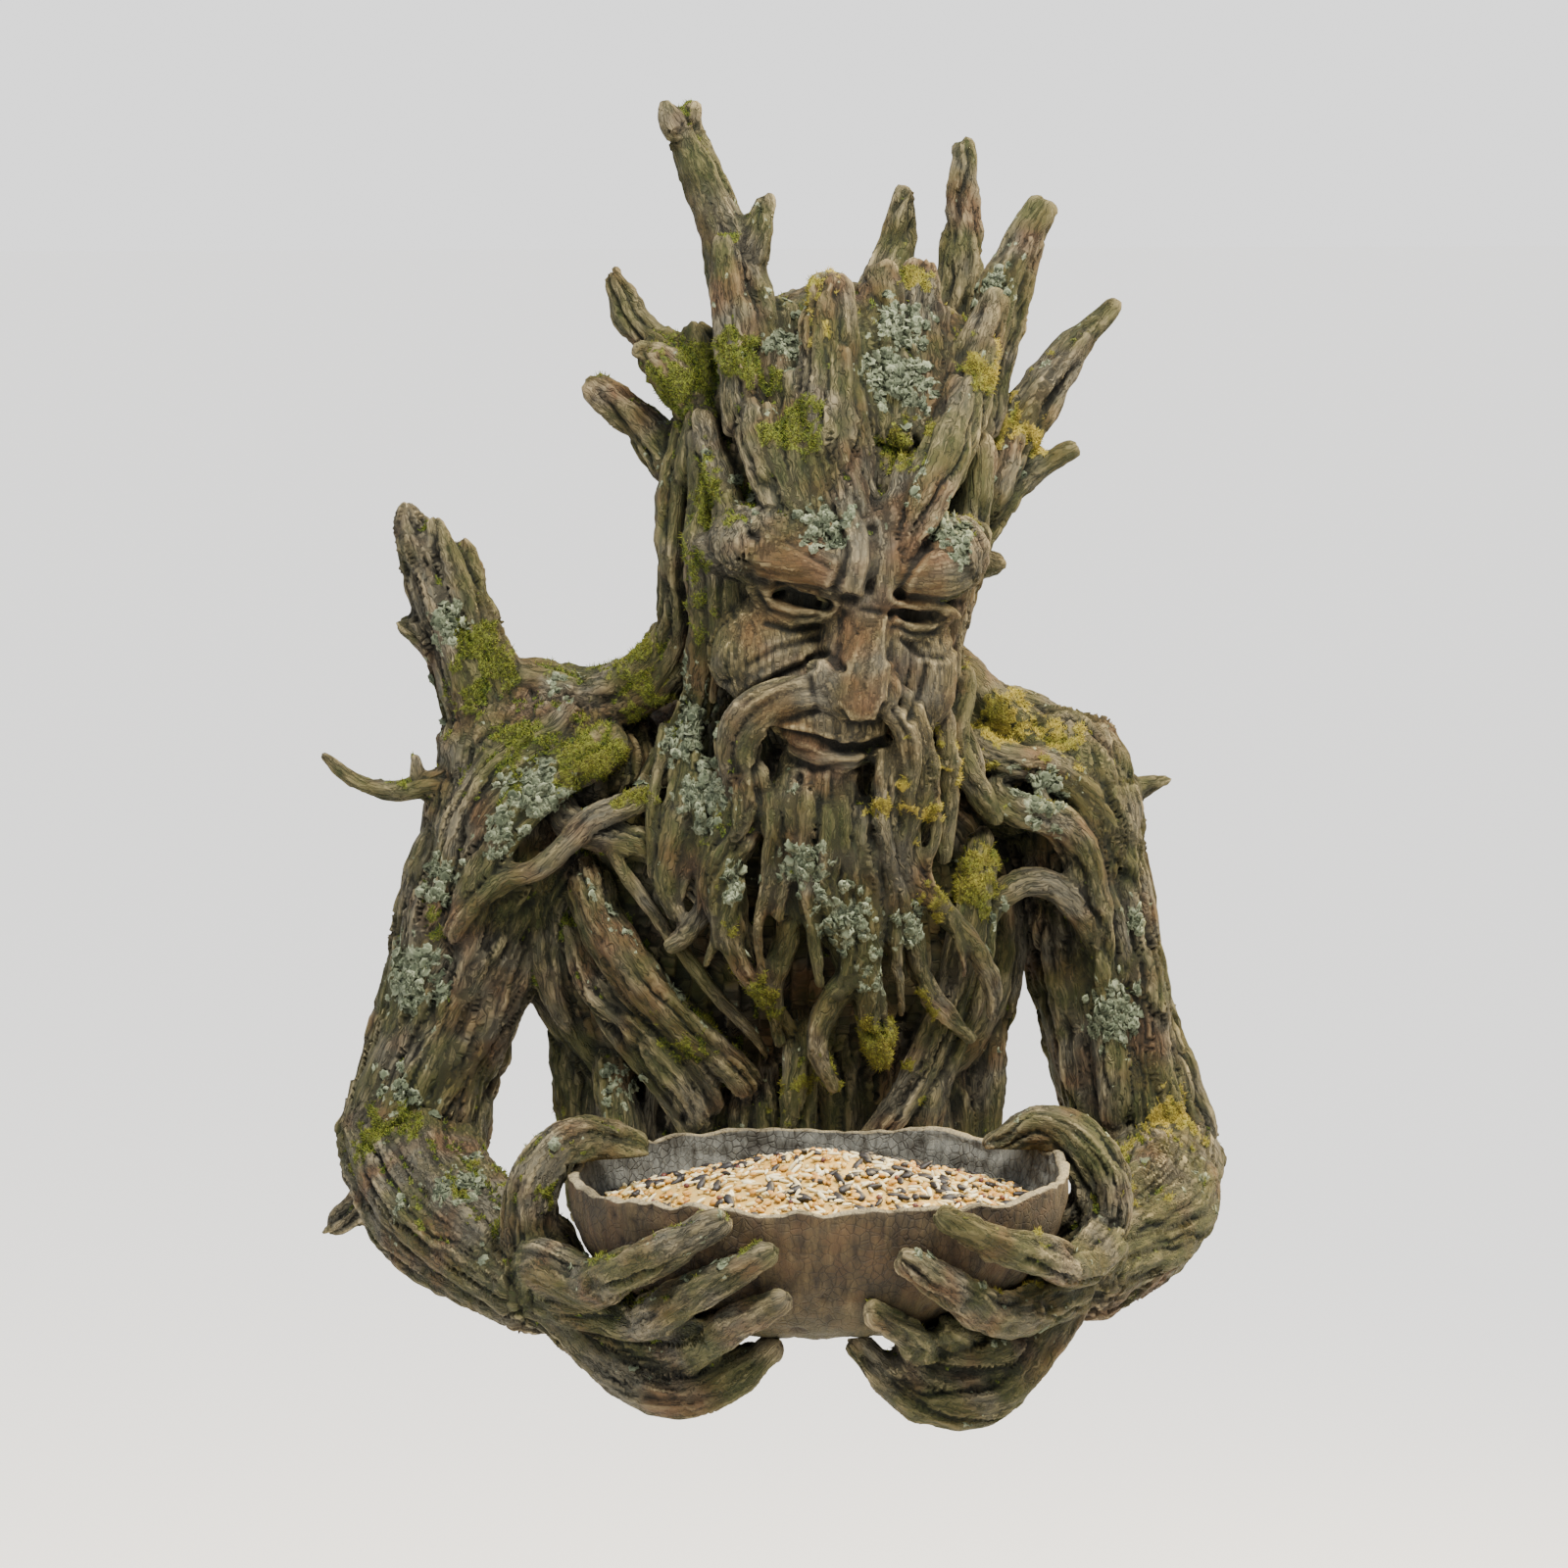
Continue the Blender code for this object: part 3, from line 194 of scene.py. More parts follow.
eyelids = [
    [(-3.6, 81.4, 32, 0.5), (-0.8, 81.5, 33.8, 0.7), (2.4, 81.2, 34.9, 0.7), (5.4, 80.4, 35.6, 0.7)],
    [(-3.2, 80.6, 32, 0.5), (-0.6, 79.3, 33.8, 0.8), (2.4, 78.6, 34.7, 0.9), (5.4, 79.3, 35.3, 0.7)],
    [(11, 79.4, 36, 0.7), (13.4, 79.9, 35.5, 0.8), (16, 79.6, 34.2, 0.7), (17.8, 78.6, 32.4, 0.5)],
    [(11.2, 77.9, 35.6, 0.5), (13.2, 77.2, 35.2, 0.8), (15.4, 77.5, 34.2, 0.7), (17, 78.2, 33, 0.5)],
]
nose = [
    [(8.8, 80.4, 35, 1.3), (8.5, 76.4, 37, 1.4), (7.4, 72.6, 38.7, 1.8), (7, 69.8, 39.4, 1.8)],
    [(10, 80.4, 35.2, 1.2), (9.8, 76.4, 37.2, 1.3), (9.1, 72.6, 39, 1.6), (8.6, 69.8, 39.6, 1.7)],
    [(3.2, 73.4, 36, 1), (4.5, 72.6, 37.4, 1.4), (6.2, 70.4, 38.8, 1.5)],
]
mouth = [
    [(3, 72, 37.4, 0.9), (-1.6, 70.8, 36.4, 1.2), (-4.6, 68.6, 35, 1.3), (-5.8, 65.4, 34, 1.2),
     (-5.2, 61, 33, 0.9)],
    [(6, 69.6, 38.4, 0.9), (2, 70.2, 37.6, 1.2), (-1.6, 68.6, 36.4, 1.3), (-3.8, 65.6, 35, 1.3),
     (-3.9, 61, 34, 1.1),
     (-4, 57, 33, 0.7)],
    [(9.4, 69.2, 38.4, 0.9), (11.8, 68, 38, 1.2), (12.9, 64.6, 37, 1.3), (12.3, 59.6, 35.4, 1)],
    [(10.6, 72, 37, 0.7), (13.2, 69.4, 36.6, 1), (14.4, 66.4, 35.6, 0.9)],
    [(0.8, 65.2, 35.2, 0.6), (3.6, 64.4, 36.4, 1), (6.4, 63.9, 36.7, 1.1), (9, 64.4, 36.2, 0.8)],
]
beard = [
    [(3.8, 63, 32.4, 3.2), (4, 59.4, 33.6, 3.5), (4.4, 51.5, 33, 3), (7, 43.5, 31, 2.2),
     (10, 35.5, 29.5, 1.3)],
    [(7.4, 58.5, 34.6, 1.8), (8.2, 49.5, 33.8, 2), (8.4, 42.5, 32.4, 1.8), (8.6, 37.5, 31, 1.3),
     (10, 33, 30, 0.9)],
    [(7, 42, 32.2, 1.6), (5, 39.4, 31.6, 1.5), (3.5, 35, 31, 1.2), (5, 30.6, 30, 0.8)],
    [(-3.5, 64, 33.5, 1.8), (-3.6, 58.5, 33, 2.2), (-6, 53.5, 31.5, 2), (-5.6, 48.5, 30.5, 1.8),
     (-3.4, 41.5, 29, 1.2)],
    [(-5, 51.5, 33, 1), (-5.8, 47, 32.4, 1.1), (-4.5, 43, 31.2, 1), (-1.7, 39.2, 30, 0.7)],
    [(-9.8, 66, 26, 1.6), (-11, 57, 28, 1.6), (-12, 51.5, 28, 1.4), (-11, 48, 28, 1)],
    [(-8, 62, 29, 1.5), (-7.4, 54, 30, 1.6), (-9, 47, 29, 1.2), (-11.5, 45, 28, 1)],
    [(12.8, 69, 34.5, 1.2), (14.5, 61.5, 33.8, 1.4), (12.6, 56.5, 33.4, 1.4), (13.3, 52.5, 32.6, 1.3),
     (16.2, 48.5, 31, 1.3), (19.2, 45, 29.4, 1.2), (21.2, 40.7, 27.6, 1.1), (21.2, 37.8, 26.6, 0.8)],
    [(10.2, 64.5, 36, 1.2), (10, 56, 34.4, 1.6), (13, 46.5, 31.4, 1.5), (14.5, 40.5, 29, 1.2),
     (19, 35.5, 26, 0.9)],
    [(16.4, 68, 31, 1.2), (16.8, 60, 30.4, 1.2), (16.2, 54, 29.6, 1)],
    [(18.5, 71.5, 26, 1.3), (17.6, 65.5, 28, 1.3), (20, 60.5, 26, 1.4), (21.6, 58, 24.5, 1)],
    [(0.8, 62, 35, 1.2), (0, 55, 34, 1.5), (0.6, 48, 32.4, 1.5), (-1, 40.5, 29.6, 1.1),
     (-0.4, 35, 28, 0.8)],
]
torso = [
    [(-20, 51.5, 21, 2.4), (-16, 43.5, 24.5, 2.4), (-10, 36.5, 25.6, 2.2), (-4, 31, 25.4, 1.6)],
    [(-21, 46.5, 18, 2), (-19, 40.5, 21.5, 2.1), (-14, 35.5, 23.6, 2.1), (-9, 28, 24, 1.8)],
    [(-22, 40, 12, 2.2), (-21.4, 30, 12, 2.2), (-20.4, 18, 11, 2)],
    [(-17.4, 32, 19, 2), (-15.6, 20, 19, 2)],
    [(21, 46, 14, 2.2), (20.8, 36, 14, 2.2), (20, 20, 12, 2)],
    [(15.5, 36, 22.5, 1.8), (14, 24, 22.5, 1.8)],
    [(2, 36, 26, 2), (1, 24, 24.5, 2)],
    [(20, 55, 23.5, 1.8), (18, 44, 25.6, 2), (14, 32, 24.8, 1.8), (9, 24, 24.4, 1.6)],
    [(-22, 58, 20, 2), (-12, 54, 25.6, 2), (-4, 44, 26.6, 1.8)],
    [(19, 45.5, 22.5, 1.5), (22, 49.8, 22.5, 1.6), (26, 51.4, 22, 1.6), (30, 48.5, 20.5, 1.5),
     (33, 43, 18.5, 1.2)],
    [(-14.2, 60.4, 25, 1.3), (-19.4, 58.1, 24.4, 1.4), (-22.5, 55.4, 24, 1.4), (-25, 53, 23.4, 1.3),
     (-28.6, 51.8, 22.4, 1.3), (-31, 50, 21.4, 1.3), (-33.6, 46.5, 20, 1.1)],
]
shoulders = [
    [(-10, 77, 19, 3), (-12.5, 73.5, 18, 3.4), (-18, 70.2, 15, 3.4), (-27, 71.4, 12, 2.8),
     (-32, 69.5, 12, 3)],
    [(-29.5, 67, 12, 4.8), (-33, 77, 11, 4.2), (-36, 84, 10, 3.2), (-38.2, 88.4, 9, 1.7),
     (-38.6, 89.8, 9, 1)],
    [(-32.4, 78, 12.5, 2.6), (-34.8, 85.6, 12, 1.5), (-35.6, 88.3, 12, 0.8)],
    [(-31, 77, 10.5, 2.6), (-32, 83.5, 10.5, 1.6), (-32.6, 86.4, 10.5, 0.8)],
    [(-39, 77.9, 10, 1.1), (-36, 75.8, 11, 1.7), (-32, 71.5, 12, 2.2)],
    [(-47.2, 64.6, 12, 0.6), (-44, 62, 12, 0.9), (-40, 60.8, 13, 1.1), (-36, 61.5, 14, 1.4),
     (-31, 62.5, 15, 1.7)],
    [(-37.7, 64.3, 13, 0.7), (-37, 61.5, 13.5, 1), (-34, 59, 14, 1.2)],
    [(17, 73, 19, 3), (21, 69.4, 16, 3), (26, 67.6, 13, 3.2), (32, 65.6, 12, 3)],
    [(39, 62.1, 11, 0.8), (36, 61, 11.5, 1.4), (32, 59, 12, 1.8)],
    [(23.2, 61.8, 28, 1.9), (20, 64.5, 26.5, 2.3), (15.5, 67.5, 23, 2.6)],
    [(-22, 68.5, 17, 2), (-30, 62, 19, 2.2), (-34.4, 52, 17.5, 2), (-36.4, 44, 15, 1.8)],
    [(-18, 65.5, 21, 2), (-26, 60.5, 21.5, 2), (-31, 52, 20.5, 2), (-33.4, 43, 17.5, 1.8),
     (-36.4, 34, 16, 1.8)],
    [(20, 65, 20, 2), (28, 62.5, 20, 2), (33.6, 56, 18, 2), (36, 46, 16, 1.8), (38, 36, 15.5, 1.8)],
    [(22, 60, 23, 1.8), (28.5, 57, 22, 1.9), (31.5, 49, 20, 1.8), (33, 38, 18.5, 1.8),
     (34, 28, 18.5, 1.8)],
]
arms = [
    [(-28, 58, 12, 7), (-31, 50, 12, 7.6), (-33, 41.5, 12, 7.4), (-36, 32, 11.5, 6.8),
     (-38, 24, 12.5, 7.2)],
    [(29, 57, 12, 7), (30.5, 49, 12, 7), (32.3, 40.5, 12, 6.9), (34.5, 32, 12, 7), (37.2, 24, 13, 7.4)],
    [(-46.9, 15.7, 11, 0.6), (-45.4, 16.6, 11.5, 1.4), (-41, 20, 13, 2.6)],
]
elbows = {-1: (-38, 23, 12.5, 7.2), 1: (37.4, 22.8, 13, 7.4)}
forearms = {-1: (-35.4, 18.6, 24, 6.6), 1: (37.4, 18.8, 24, 6.6)}
wrist = (102, 0.16, 4.4, 2.4)
fingers = {
    -1: [
        [(86, 0.42, 2.2, 1.35), (73, 0.36, 1.2, 1.15), (54, 0.55, 1.05, 1.05), (39, 0.76, 1, 0.95),
         (27, 0.98, 0.85, 0.7)],
        [(84, 0.14, 2.4, 1.35), (70, 0.1, 1.4, 1.15), (44, 0.32, 1.1, 1.05), (30, 0.55, 1, 0.95),
         (17, 0.78, 0.85, 0.7)],
        [(80, -0.14, 2.8, 1.35), (62, -0.14, 2, 1.15), (38, 0.08, 1.3, 1.05), (26, 0.27, 1.1, 0.9),
         (15, 0.44, 0.9, 0.65)],
        [(74, -0.36, 3.2, 1.25), (54, -0.4, 2, 1.05), (36, -0.22, 1.3, 0.95), (25, -0.04, 1.1, 0.7)],
    ],
    1: [
        [(88, 0.42, 2.6, 1.35), (72, 0.4, 1.7, 1.15), (49, 0.6, 1.2, 1.05), (33, 0.78, 1, 0.95),
         (20, 0.99, 0.85, 0.7)],
        [(86, 0.14, 2.8, 1.35), (66, 0.12, 2, 1.15), (40, 0.22, 1.4, 1.05), (25, 0.45, 1, 0.95),
         (12, 0.72, 0.85, 0.7)],
        [(82, -0.14, 3.2, 1.35), (60, -0.2, 2.4, 1.15), (36, -0.08, 1.4, 1.05), (20, 0.12, 1.2, 0.9),
         (7, 0.33, 0.9, 0.65)],
        [(76, -0.36, 3.6, 1.25), (56, -0.5, 2.6, 1.1), (34, -0.42, 1.6, 1), (18, -0.22, 1.2, 0.85),
         (8, -0.02, 1, 0.65)],
    ],
}
webs = {
    -1: [
        [(82, 0, 2.4, 1.3), (66, -0.04, 1.7, 1), (48, 0.06, 1.15, 0.9), (36, 0.18, 1, 0.7)],
        [(78, -0.26, 2.6, 1.3), (60, -0.28, 1.8, 1.1), (44, -0.18, 1.2, 0.9), (34, -0.1, 1, 0.7)],
    ],
    1: [
        [(84, 0, 2.6, 1.3), (62, -0.05, 1.9, 1), (44, 0.03, 1.3, 0.9), (32, 0.12, 1.1, 0.7)],
        [(80, -0.26, 3, 1.3), (58, -0.36, 2.3, 1.1), (36, -0.28, 1.5, 0.9), (24, -0.14, 1.2, 0.7)],
    ],
}
thumbs = {
    -1: [(104, 0.3, 3, 1.8), (100, 0.66, 2.2, 1.5), (100, 1.0, 1.3, 1.3), (106, 1.18, -0.4, 1.15),
         (116, 1.08, -2.6, 0.8)],
    1: [(104, 0.3, 3, 1.8), (96, 0.66, 2.4, 1.5), (96, 1.0, 1.4, 1.3), (104, 1.18, -0.4, 1.15),
        (112, 1.04, -2.4, 0.8)],
}

# finer strands that only show close up

fineBeard = [
    [(-9, 70, 25, 0.8), (-10, 62, 27, 0.8), (-9.5, 55, 29, 0.8), (-10.5, 50, 28.5, 0.6)],
    [(-6.5, 66, 31, 0.8), (-6.4, 58, 32, 0.8), (-8, 52, 31.5, 0.7), (-7, 46, 31, 0.6), (-8, 43, 30, 0.4)],
    [(-1.5, 60, 35, 0.8), (-1.6, 52, 34, 0.8), (-2.6, 46, 32.5, 0.7), (-1.5, 40, 30.5, 0.5)],
    [(2.2, 61, 36.2, 0.9), (2.2, 53, 35.4, 0.9), (3, 46, 34, 0.8), (3.6, 41, 32.8, 0.6)],
    [(6, 60, 36.4, 0.8), (6.2, 52, 35.4, 0.8), (6.6, 46, 34.2, 0.7), (6, 40, 33, 0.5)],
    [(9.6, 60, 36, 0.8), (11, 52, 34.4, 0.8), (11.4, 45, 32.6, 0.7), (12, 38, 30.6, 0.5)],
    [(14.6, 66, 34.4, 0.7), (15.6, 58, 33.4, 0.7), (15, 52, 32.8, 0.6), (17.6, 46.6, 31.2, 0.6),
     (18.4, 42, 30, 0.5)],
    [(12, 66, 36.6, 0.7), (12.4, 60, 35.4, 0.6), (11.6, 54, 34.4, 0.5)],
    [(-12.5, 66, 25, 0.8), (-13.5, 58, 27, 0.8), (-13.6, 52, 27.6, 0.6)],
    [(-4.6, 62, 34.4, 0.7), (-4.9, 56, 34, 0.7), (-7, 50, 32.8, 0.6), (-6.6, 45, 31.8, 0.5)],
    [(4.6, 59, 36.8, 0.7), (4.2, 51, 35.6, 0.7), (5.6, 45, 34, 0.6)],
    [(0.4, 60, 36, 0.6), (0.4, 54, 35.2, 0.7), (-0.6, 48, 33.6, 0.6)],
    [(8, 56, 36, 0.7), (9.6, 49, 34.6, 0.7), (9.6, 43, 33, 0.6), (10.4, 38, 31.4, 0.4)],
]
fineCrown = [
    [(3, 105, 30, 0.6), (3, 97, 33.2, 0.7), (4.6, 88, 36, 0.6)],
    [(6.2, 105, 30, 0.6), (6.8, 96, 33.6, 0.7), (8, 89, 36.4, 0.6)],
    [(4.6, 104, 31.2, 0.6), (5, 96, 34.2, 0.7), (6.4, 87, 37, 0.5)],
    [(16.4, 99, 31.4, 0.6), (14.6, 92, 35, 0.7), (12.4, 86, 37, 0.5)],
    [(18.6, 97, 31.4, 0.5), (16, 90, 35, 0.7), (13.4, 85, 36.6, 0.5)],
    [(-7.6, 120, 22.6, 0.7), (-5.6, 112, 25, 0.8), (-3.4, 102, 26.8, 0.8), (-2, 95, 30, 0.7)],
    [(-9.4, 124, 20.4, 0.7), (-7.6, 117, 21, 0.8), (-5.6, 109, 22.6, 0.8), (-4, 101, 25, 0.8)],
    [(25.4, 117, 19.6, 0.6), (22.8, 110, 21.6, 0.8), (20.4, 101, 23.6, 0.8)],
    [(31, 107.4, 16.4, 0.5), (26.6, 101.4, 18.6, 0.7), (21.6, 93, 21.4, 0.7)],
    [(12, 112, 22.6, 0.7), (12, 104, 26.8, 0.8), (12.4, 96, 31, 0.8)],
    [(8.4, 108, 24.6, 0.7), (8.2, 101, 29.4, 0.8), (8.8, 94, 33, 0.7)],
    [(16.4, 110, 22.4, 0.7), (16.4, 103, 26.6, 0.8), (16, 97, 30.6, 0.7)],
    [(-1.6, 100, 30, 0.7), (-0.6, 94, 33, 0.8), (2, 88, 35.4, 0.6)],
    [(-9.4, 97, 24.4, 0.7), (-9.2, 89, 26.4, 0.7), (-8.8, 80, 27, 0.7), (-9.6, 72, 25.4, 0.7),
     (-12, 66, 23, 0.7)],
    [(-6.4, 92, 29.6, 0.7), (-7.2, 84, 30, 0.7), (-7, 76, 29.4, 0.7), (-7.2, 70, 28, 0.6)],
    [(-10.6, 93, 22.4, 0.7), (-11.4, 84, 22.6, 0.7), (-11, 76, 22.4, 0.8), (-13.4, 71, 20.4, 0.7)],
    [(20.8, 94, 25.4, 0.7), (19.2, 86, 26.4, 0.7), (17.2, 78, 26.4, 0.7), (17, 71, 25, 0.6)],
]
fineTorso = [
    [(-18, 55.5, 24, 0.8), (-12.6, 47.5, 26.4, 0.9), (-7, 40, 27, 0.8), (-2, 34.4, 26.4, 0.6)],
    [(-21.6, 49.5, 20, 0.8), (-17.4, 42, 24, 0.9), (-11.6, 36, 25.6, 0.8), (-6.6, 29.4, 25.2, 0.6)],
    [(-20.8, 44, 17, 0.8), (-18, 37, 21.4, 0.9), (-13.4, 31, 23.6, 0.8), (-9.4, 24.4, 23.6, 0.6)],
    [(-9, 51, 27, 0.8), (-2.6, 41.4, 27.6, 0.8), (2.4, 32, 26.4, 0.8), (2.6, 24, 25.2, 0.6)],
    [(18.6, 52, 25.6, 0.7), (16.6, 42.6, 27, 0.8), (12.6, 32.4, 26, 0.8), (8, 25, 25.2, 0.6)],
    [(21.6, 50, 23, 0.7), (20, 40, 24.4, 0.8), (16.4, 30, 24, 0.8)],
    [(-24, 65, 19.4, 0.8), (-30.4, 57.6, 20.8, 0.9), (-33.4, 48.6, 18.6, 0.8), (-35.2, 40, 16.6, 0.7)],
    [(-21, 62.6, 22.4, 0.8), (-27.4, 56, 22.2, 0.9), (-31, 47.6, 20.4, 0.8), (-33.6, 38.6, 18, 0.7)],
    [(-26.6, 66.6, 17, 0.8), (-33.4, 58, 18, 0.9), (-36, 48, 15.6, 0.8)],
    [(23.6, 64, 21, 0.8), (30, 60, 21, 0.9), (33, 52, 19.2, 0.8), (35, 42.6, 17.6, 0.7)],
    [(26, 61, 22.4, 0.7), (30.6, 54, 21.4, 0.8), (32.6, 44, 19.8, 0.7), (33.8, 34, 18.8, 0.6)],
    [(24.6, 66.4, 18.4, 0.7), (32, 62, 18, 0.8), (36.4, 53, 15.4, 0.8), (38, 43, 14.4, 0.6)],
]

# growth, as seen on the sheet: across, up, radius, strength and how yellow it is; the yellow is partly the
# moss's own and partly painted sunlight, strongest on the lit right side

mossPatches = [
    (-10, 104, 6, 1.1, 0.1), (-5.5, 106, 4, 1, 0.1), (0.5, 99, 4.5, 1.1, 0.1), (-1.5, 103, 3.5, 0.9, 0.1),
    (12.8, 96.4, 4, 1.1, 0.25), (-8.5, 92, 5, 0.9, 0.1), (-10.5, 85, 4.5, 0.8, 0.1), (-10, 78, 4, 0.8, 0.1),
    (-30, 75, 4.5, 1.1, 0.1), (-27, 67, 5, 1, 0.1), (-20, 66, 6.5, 1.1, 0.2), (-15, 70.5, 4.5, 1, 0.2),
    (-33, 70, 4.5, 0.9, 0.1), (-16, 61.5, 4, 0.8, 0.2), (8.5, 32.5, 6.5, 1.2, 0.4), (-1, 38, 5, 1, 0.3),
    (3, 29, 6, 0.8, 0.3), (20, 53, 5.5, 1.1, 0.35), (16.6, 49.5, 3.5, 0.9, 0.5), (22.5, 67, 5.5, 1, 0.75),
    (17.5, 64, 4, 0.9, 0.85), (13.4, 60, 3, 0.8, 1), (15.6, 57, 3.4, 0.8, 0.9), (10.8, 58.6, 2.2, 0.7, 0.9),
    (24, 99, 3.6, 1, 1), (22.6, 104.4, 3, 0.9, 1), (19.8, 104.6, 3.4, 0.9, 0.4), (14.5, 114, 3.4, 0.9, 0.5),
    (2, 112, 2.6, 0.8, 1), (3, 108, 2.2, 0.6, 0.9), (40, 28.4, 3.6, 1, 1), (-42, 26.6, 5, 1, 0.1),
    (-38, 48, 4.5, 0.7, 0.1), (-30, 23, 4, 0.7, 0.2), (-15.5, 75, 3.6, 0.8, 0.2), (-7.5, 57, 3, 0.6, 0.2),
    (28.6, 67, 4.5, 0.9, 0.8), (36, 20, 4, 0.5, 0.5), (14.6, 66, 2.4, 0.6, 0.9), (-12, 35, 4, 0.6, 0.2),
    (-22, 20, 5, 0.6, 0.2), (17, 92, 3, 0.6, 0.9), (-5, 47, 3, 0.6, 0.3), (16, 39, 3, 0.7, 0.5),
    (-24, 30, 4, 0.6, 0.2),
]
lichenPatches = [
    (3.6, 88.2, 3.4, 1), (12.2, 103.4, 5.6, 1), (12.5, 109, 4.4, 1), (0.6, 107, 3.6, 0.9),
    (20.4, 113, 3, 0.9),
    (17.6, 88, 4, 0.9), (-25.5, 60.5, 5.4, 1), (-9.5, 67.5, 5, 1), (-8, 61, 5, 1), (1.4, 52.6, 3.6, 1),
    (6.6, 47, 4.4, 1), (-39, 42, 5.4, 1), (-33.5, 21.5, 4.4, 0.9), (-39.5, 30, 4.6, 0.8), (27, 61, 4.6, 0.9),
    (34.4, 38.5, 5, 1), (-33.5, 78.4, 3.4, 1), (-16, 31.5, 3.6, 0.8), (-11, 73, 3.4, 0.8), (-5, 52, 3, 0.7),
    (22, 104, 2.4, 0.5), (14.5, 47, 4, 0.8), (-36, 52, 4, 0.8), (36, 47, 3.6, 0.7), (-40, 19, 3, 0.6),
    (10.5, 41, 3.4, 0.7), (-4, 90, 3, 0.5), (31, 13.6, 3, 0.4), (-9, 95, 3, 0.6), (-3, 106, 2.6, 0.9),
    (-30, 56, 3.6, 0.8), (22, 49, 3, 0.6),
]


# noise

noiseDraw = np.random.RandomState(11)
shuffle = np.tile(noiseDraw.permutation(256), 2)
slopes = noiseDraw.normal(size=(256, 3))
slopes /= np.linalg.norm(slopes, axis=1)[:, None]


def noise(spots):
    # smooth noise of about -1 to 1 at many points
    cell = np.floor(spots).astype(np.int64)
    part = spots - cell
    fade = part ** 3 * (part * (part * 6 - 15) + 10)
    total = np.zeros(len(spots))
    for corner in range(8):
        step = np.array((corner & 1, corner >> 1 & 1, corner >> 2 & 1))
        index = (cell + step) & 255
        index = shuffle[shuffle[shuffle[index[:, 0]] + index[:, 1]] + index[:, 2]]
        value = np.einsum("ij,ij->i", slopes[index], part - step)
        weight = np.prod(np.where(step, fade, 1 - fade), axis=1)
        total += weight * value
    return total * 1.7


def roughNoise(spots, layers=3):
    total = np.zeros(len(spots))
    for layer in range(layers):
        total += noise(spots * 2 ** layer + layer * 17.3) / 2 ** layer
    return total / 1.4


# meshes as arrays

def meshFrom(name, spots, faces):
    # a mesh from an array of points and an array, or several, of faces
    groups = [np.asarray(group) for group in (faces if isinstance(faces, list) else [faces]) if len(group)]
    corners = np.concatenate([group.ravel() for group in groups]).astype(np.int32)
    sizes = np.concatenate([np.full(len(group), group.shape[1]) for group in groups])
    starts = np.concatenate([[0], np.cumsum(sizes)[:-1]]).astype(np.int32)
    made = bpy.data.meshes.new(name)
    made.vertices.add(len(spots))
    made.vertices.foreach_set("co", np.ascontiguousarray(spots, dtype=np.float32).ravel())
    made.loops.add(len(corners))
    made.loops.foreach_set("vertex_index", corners)
    made.polygons.add(len(starts))
    made.polygons.foreach_set("loop_start", starts)
    made.update(calc_edges=True)
    made.validate()
    return made


def objectFrom(name, mesh):
    made = bpy.data.objects.new(name, mesh)
    bpy.context.scene.collection.objects.link(made)
    return made


def settled(item):
    # the mesh of an object with its modifiers worked in
    seen = item.evaluated_get(bpy.context.evaluated_depsgraph_get())
    return bpy.data.meshes.new_from_object(seen)


def spotsOf(mesh):
    spots = np.empty(len(mesh.vertices) * 3, np.float32)
    mesh.vertices.foreach_get("co", spots)
    return spots.reshape(-1, 3).astype(float)


def trianglesOf(mesh):
    mesh.calc_loop_triangles()
    corners = np.empty(len(mesh.loop_triangles) * 3, np.int32)
    mesh.loop_triangles.foreach_get("vertices", corners)
    return corners.reshape(-1, 3)


def normalsOf(spots, faces):
    if faces.shape[1] == 4:
        pull = np.cross(spots[faces[:, 2]] - spots[faces[:, 0]], spots[faces[:, 3]] - spots[faces[:, 1]])
    else:
        pull = np.cross(spots[faces[:, 1]] - spots[faces[:, 0]], spots[faces[:, 2]] - spots[faces[:, 0]])
    total = np.zeros_like(spots)
    for axis in range(3):
        for corner in range(faces.shape[1]):
            total[:, axis] += np.bincount(faces[:, corner], pull[:, axis], len(spots))
    return total / np.maximum(np.linalg.norm(total, axis=1), 1e-12)[:, None]


def smoothed(values, faces, rounds, share=0.5):
    # values drawn towards their neighbours' mean, on a closed mesh
    heads = faces.ravel()
    tails = np.roll(faces, -1, axis=1).ravel()
    count = len(values)
    degree = np.maximum(np.bincount(heads, minlength=count), 1)
    values = values.reshape(count, -1).copy()
    for _ in range(rounds):
        for axis in range(values.shape[1]):
            mean = np.bincount(heads, values[tails, axis], count) / degree
            values[:, axis] += (mean - values[:, axis]) * share
    return values


def largestShell(spots, faces):
    # only the outer skin, without the hollows closed in between strands
    label = np.arange(len(spots))
    while True:
        low = label[faces].min(axis=1)
        fresh = label.copy()
        for corner in range(faces.shape[1]):
            np.minimum.at(fresh, faces[:, corner], low)
        fresh = fresh[fresh]
        if (fresh == label).all():
            break
        label = fresh
    largest = np.argmax(np.bincount(label))
    kept = label == largest
    place = np.cumsum(kept) - 1
    return spots[kept], place[faces[kept[faces[:, 0]]]]


def nearestIn(points, queries):
    # for each query, the index of the nearest point
    tree = KDTree(len(points))
    for index, point in enumerate(points.tolist()):
        tree.insert(point, index)
    tree.balance()
    find = tree.find
    return np.array([find(query)[1] for query in queries.tolist()])


def rise(low, high, values):
    # a smooth step from 0 at low to 1 at high
    share = np.clip((values - low) / (high - low), 0, 1)
    return share * share * (3 - 2 * share)


def addAttribute(mesh, name, values):
    layer = mesh.attributes.new(name, "FLOAT_VECTOR", "POINT")
    layer.data.foreach_set("vector", np.ascontiguousarray(values, dtype=np.float32).ravel())


# strands of wood

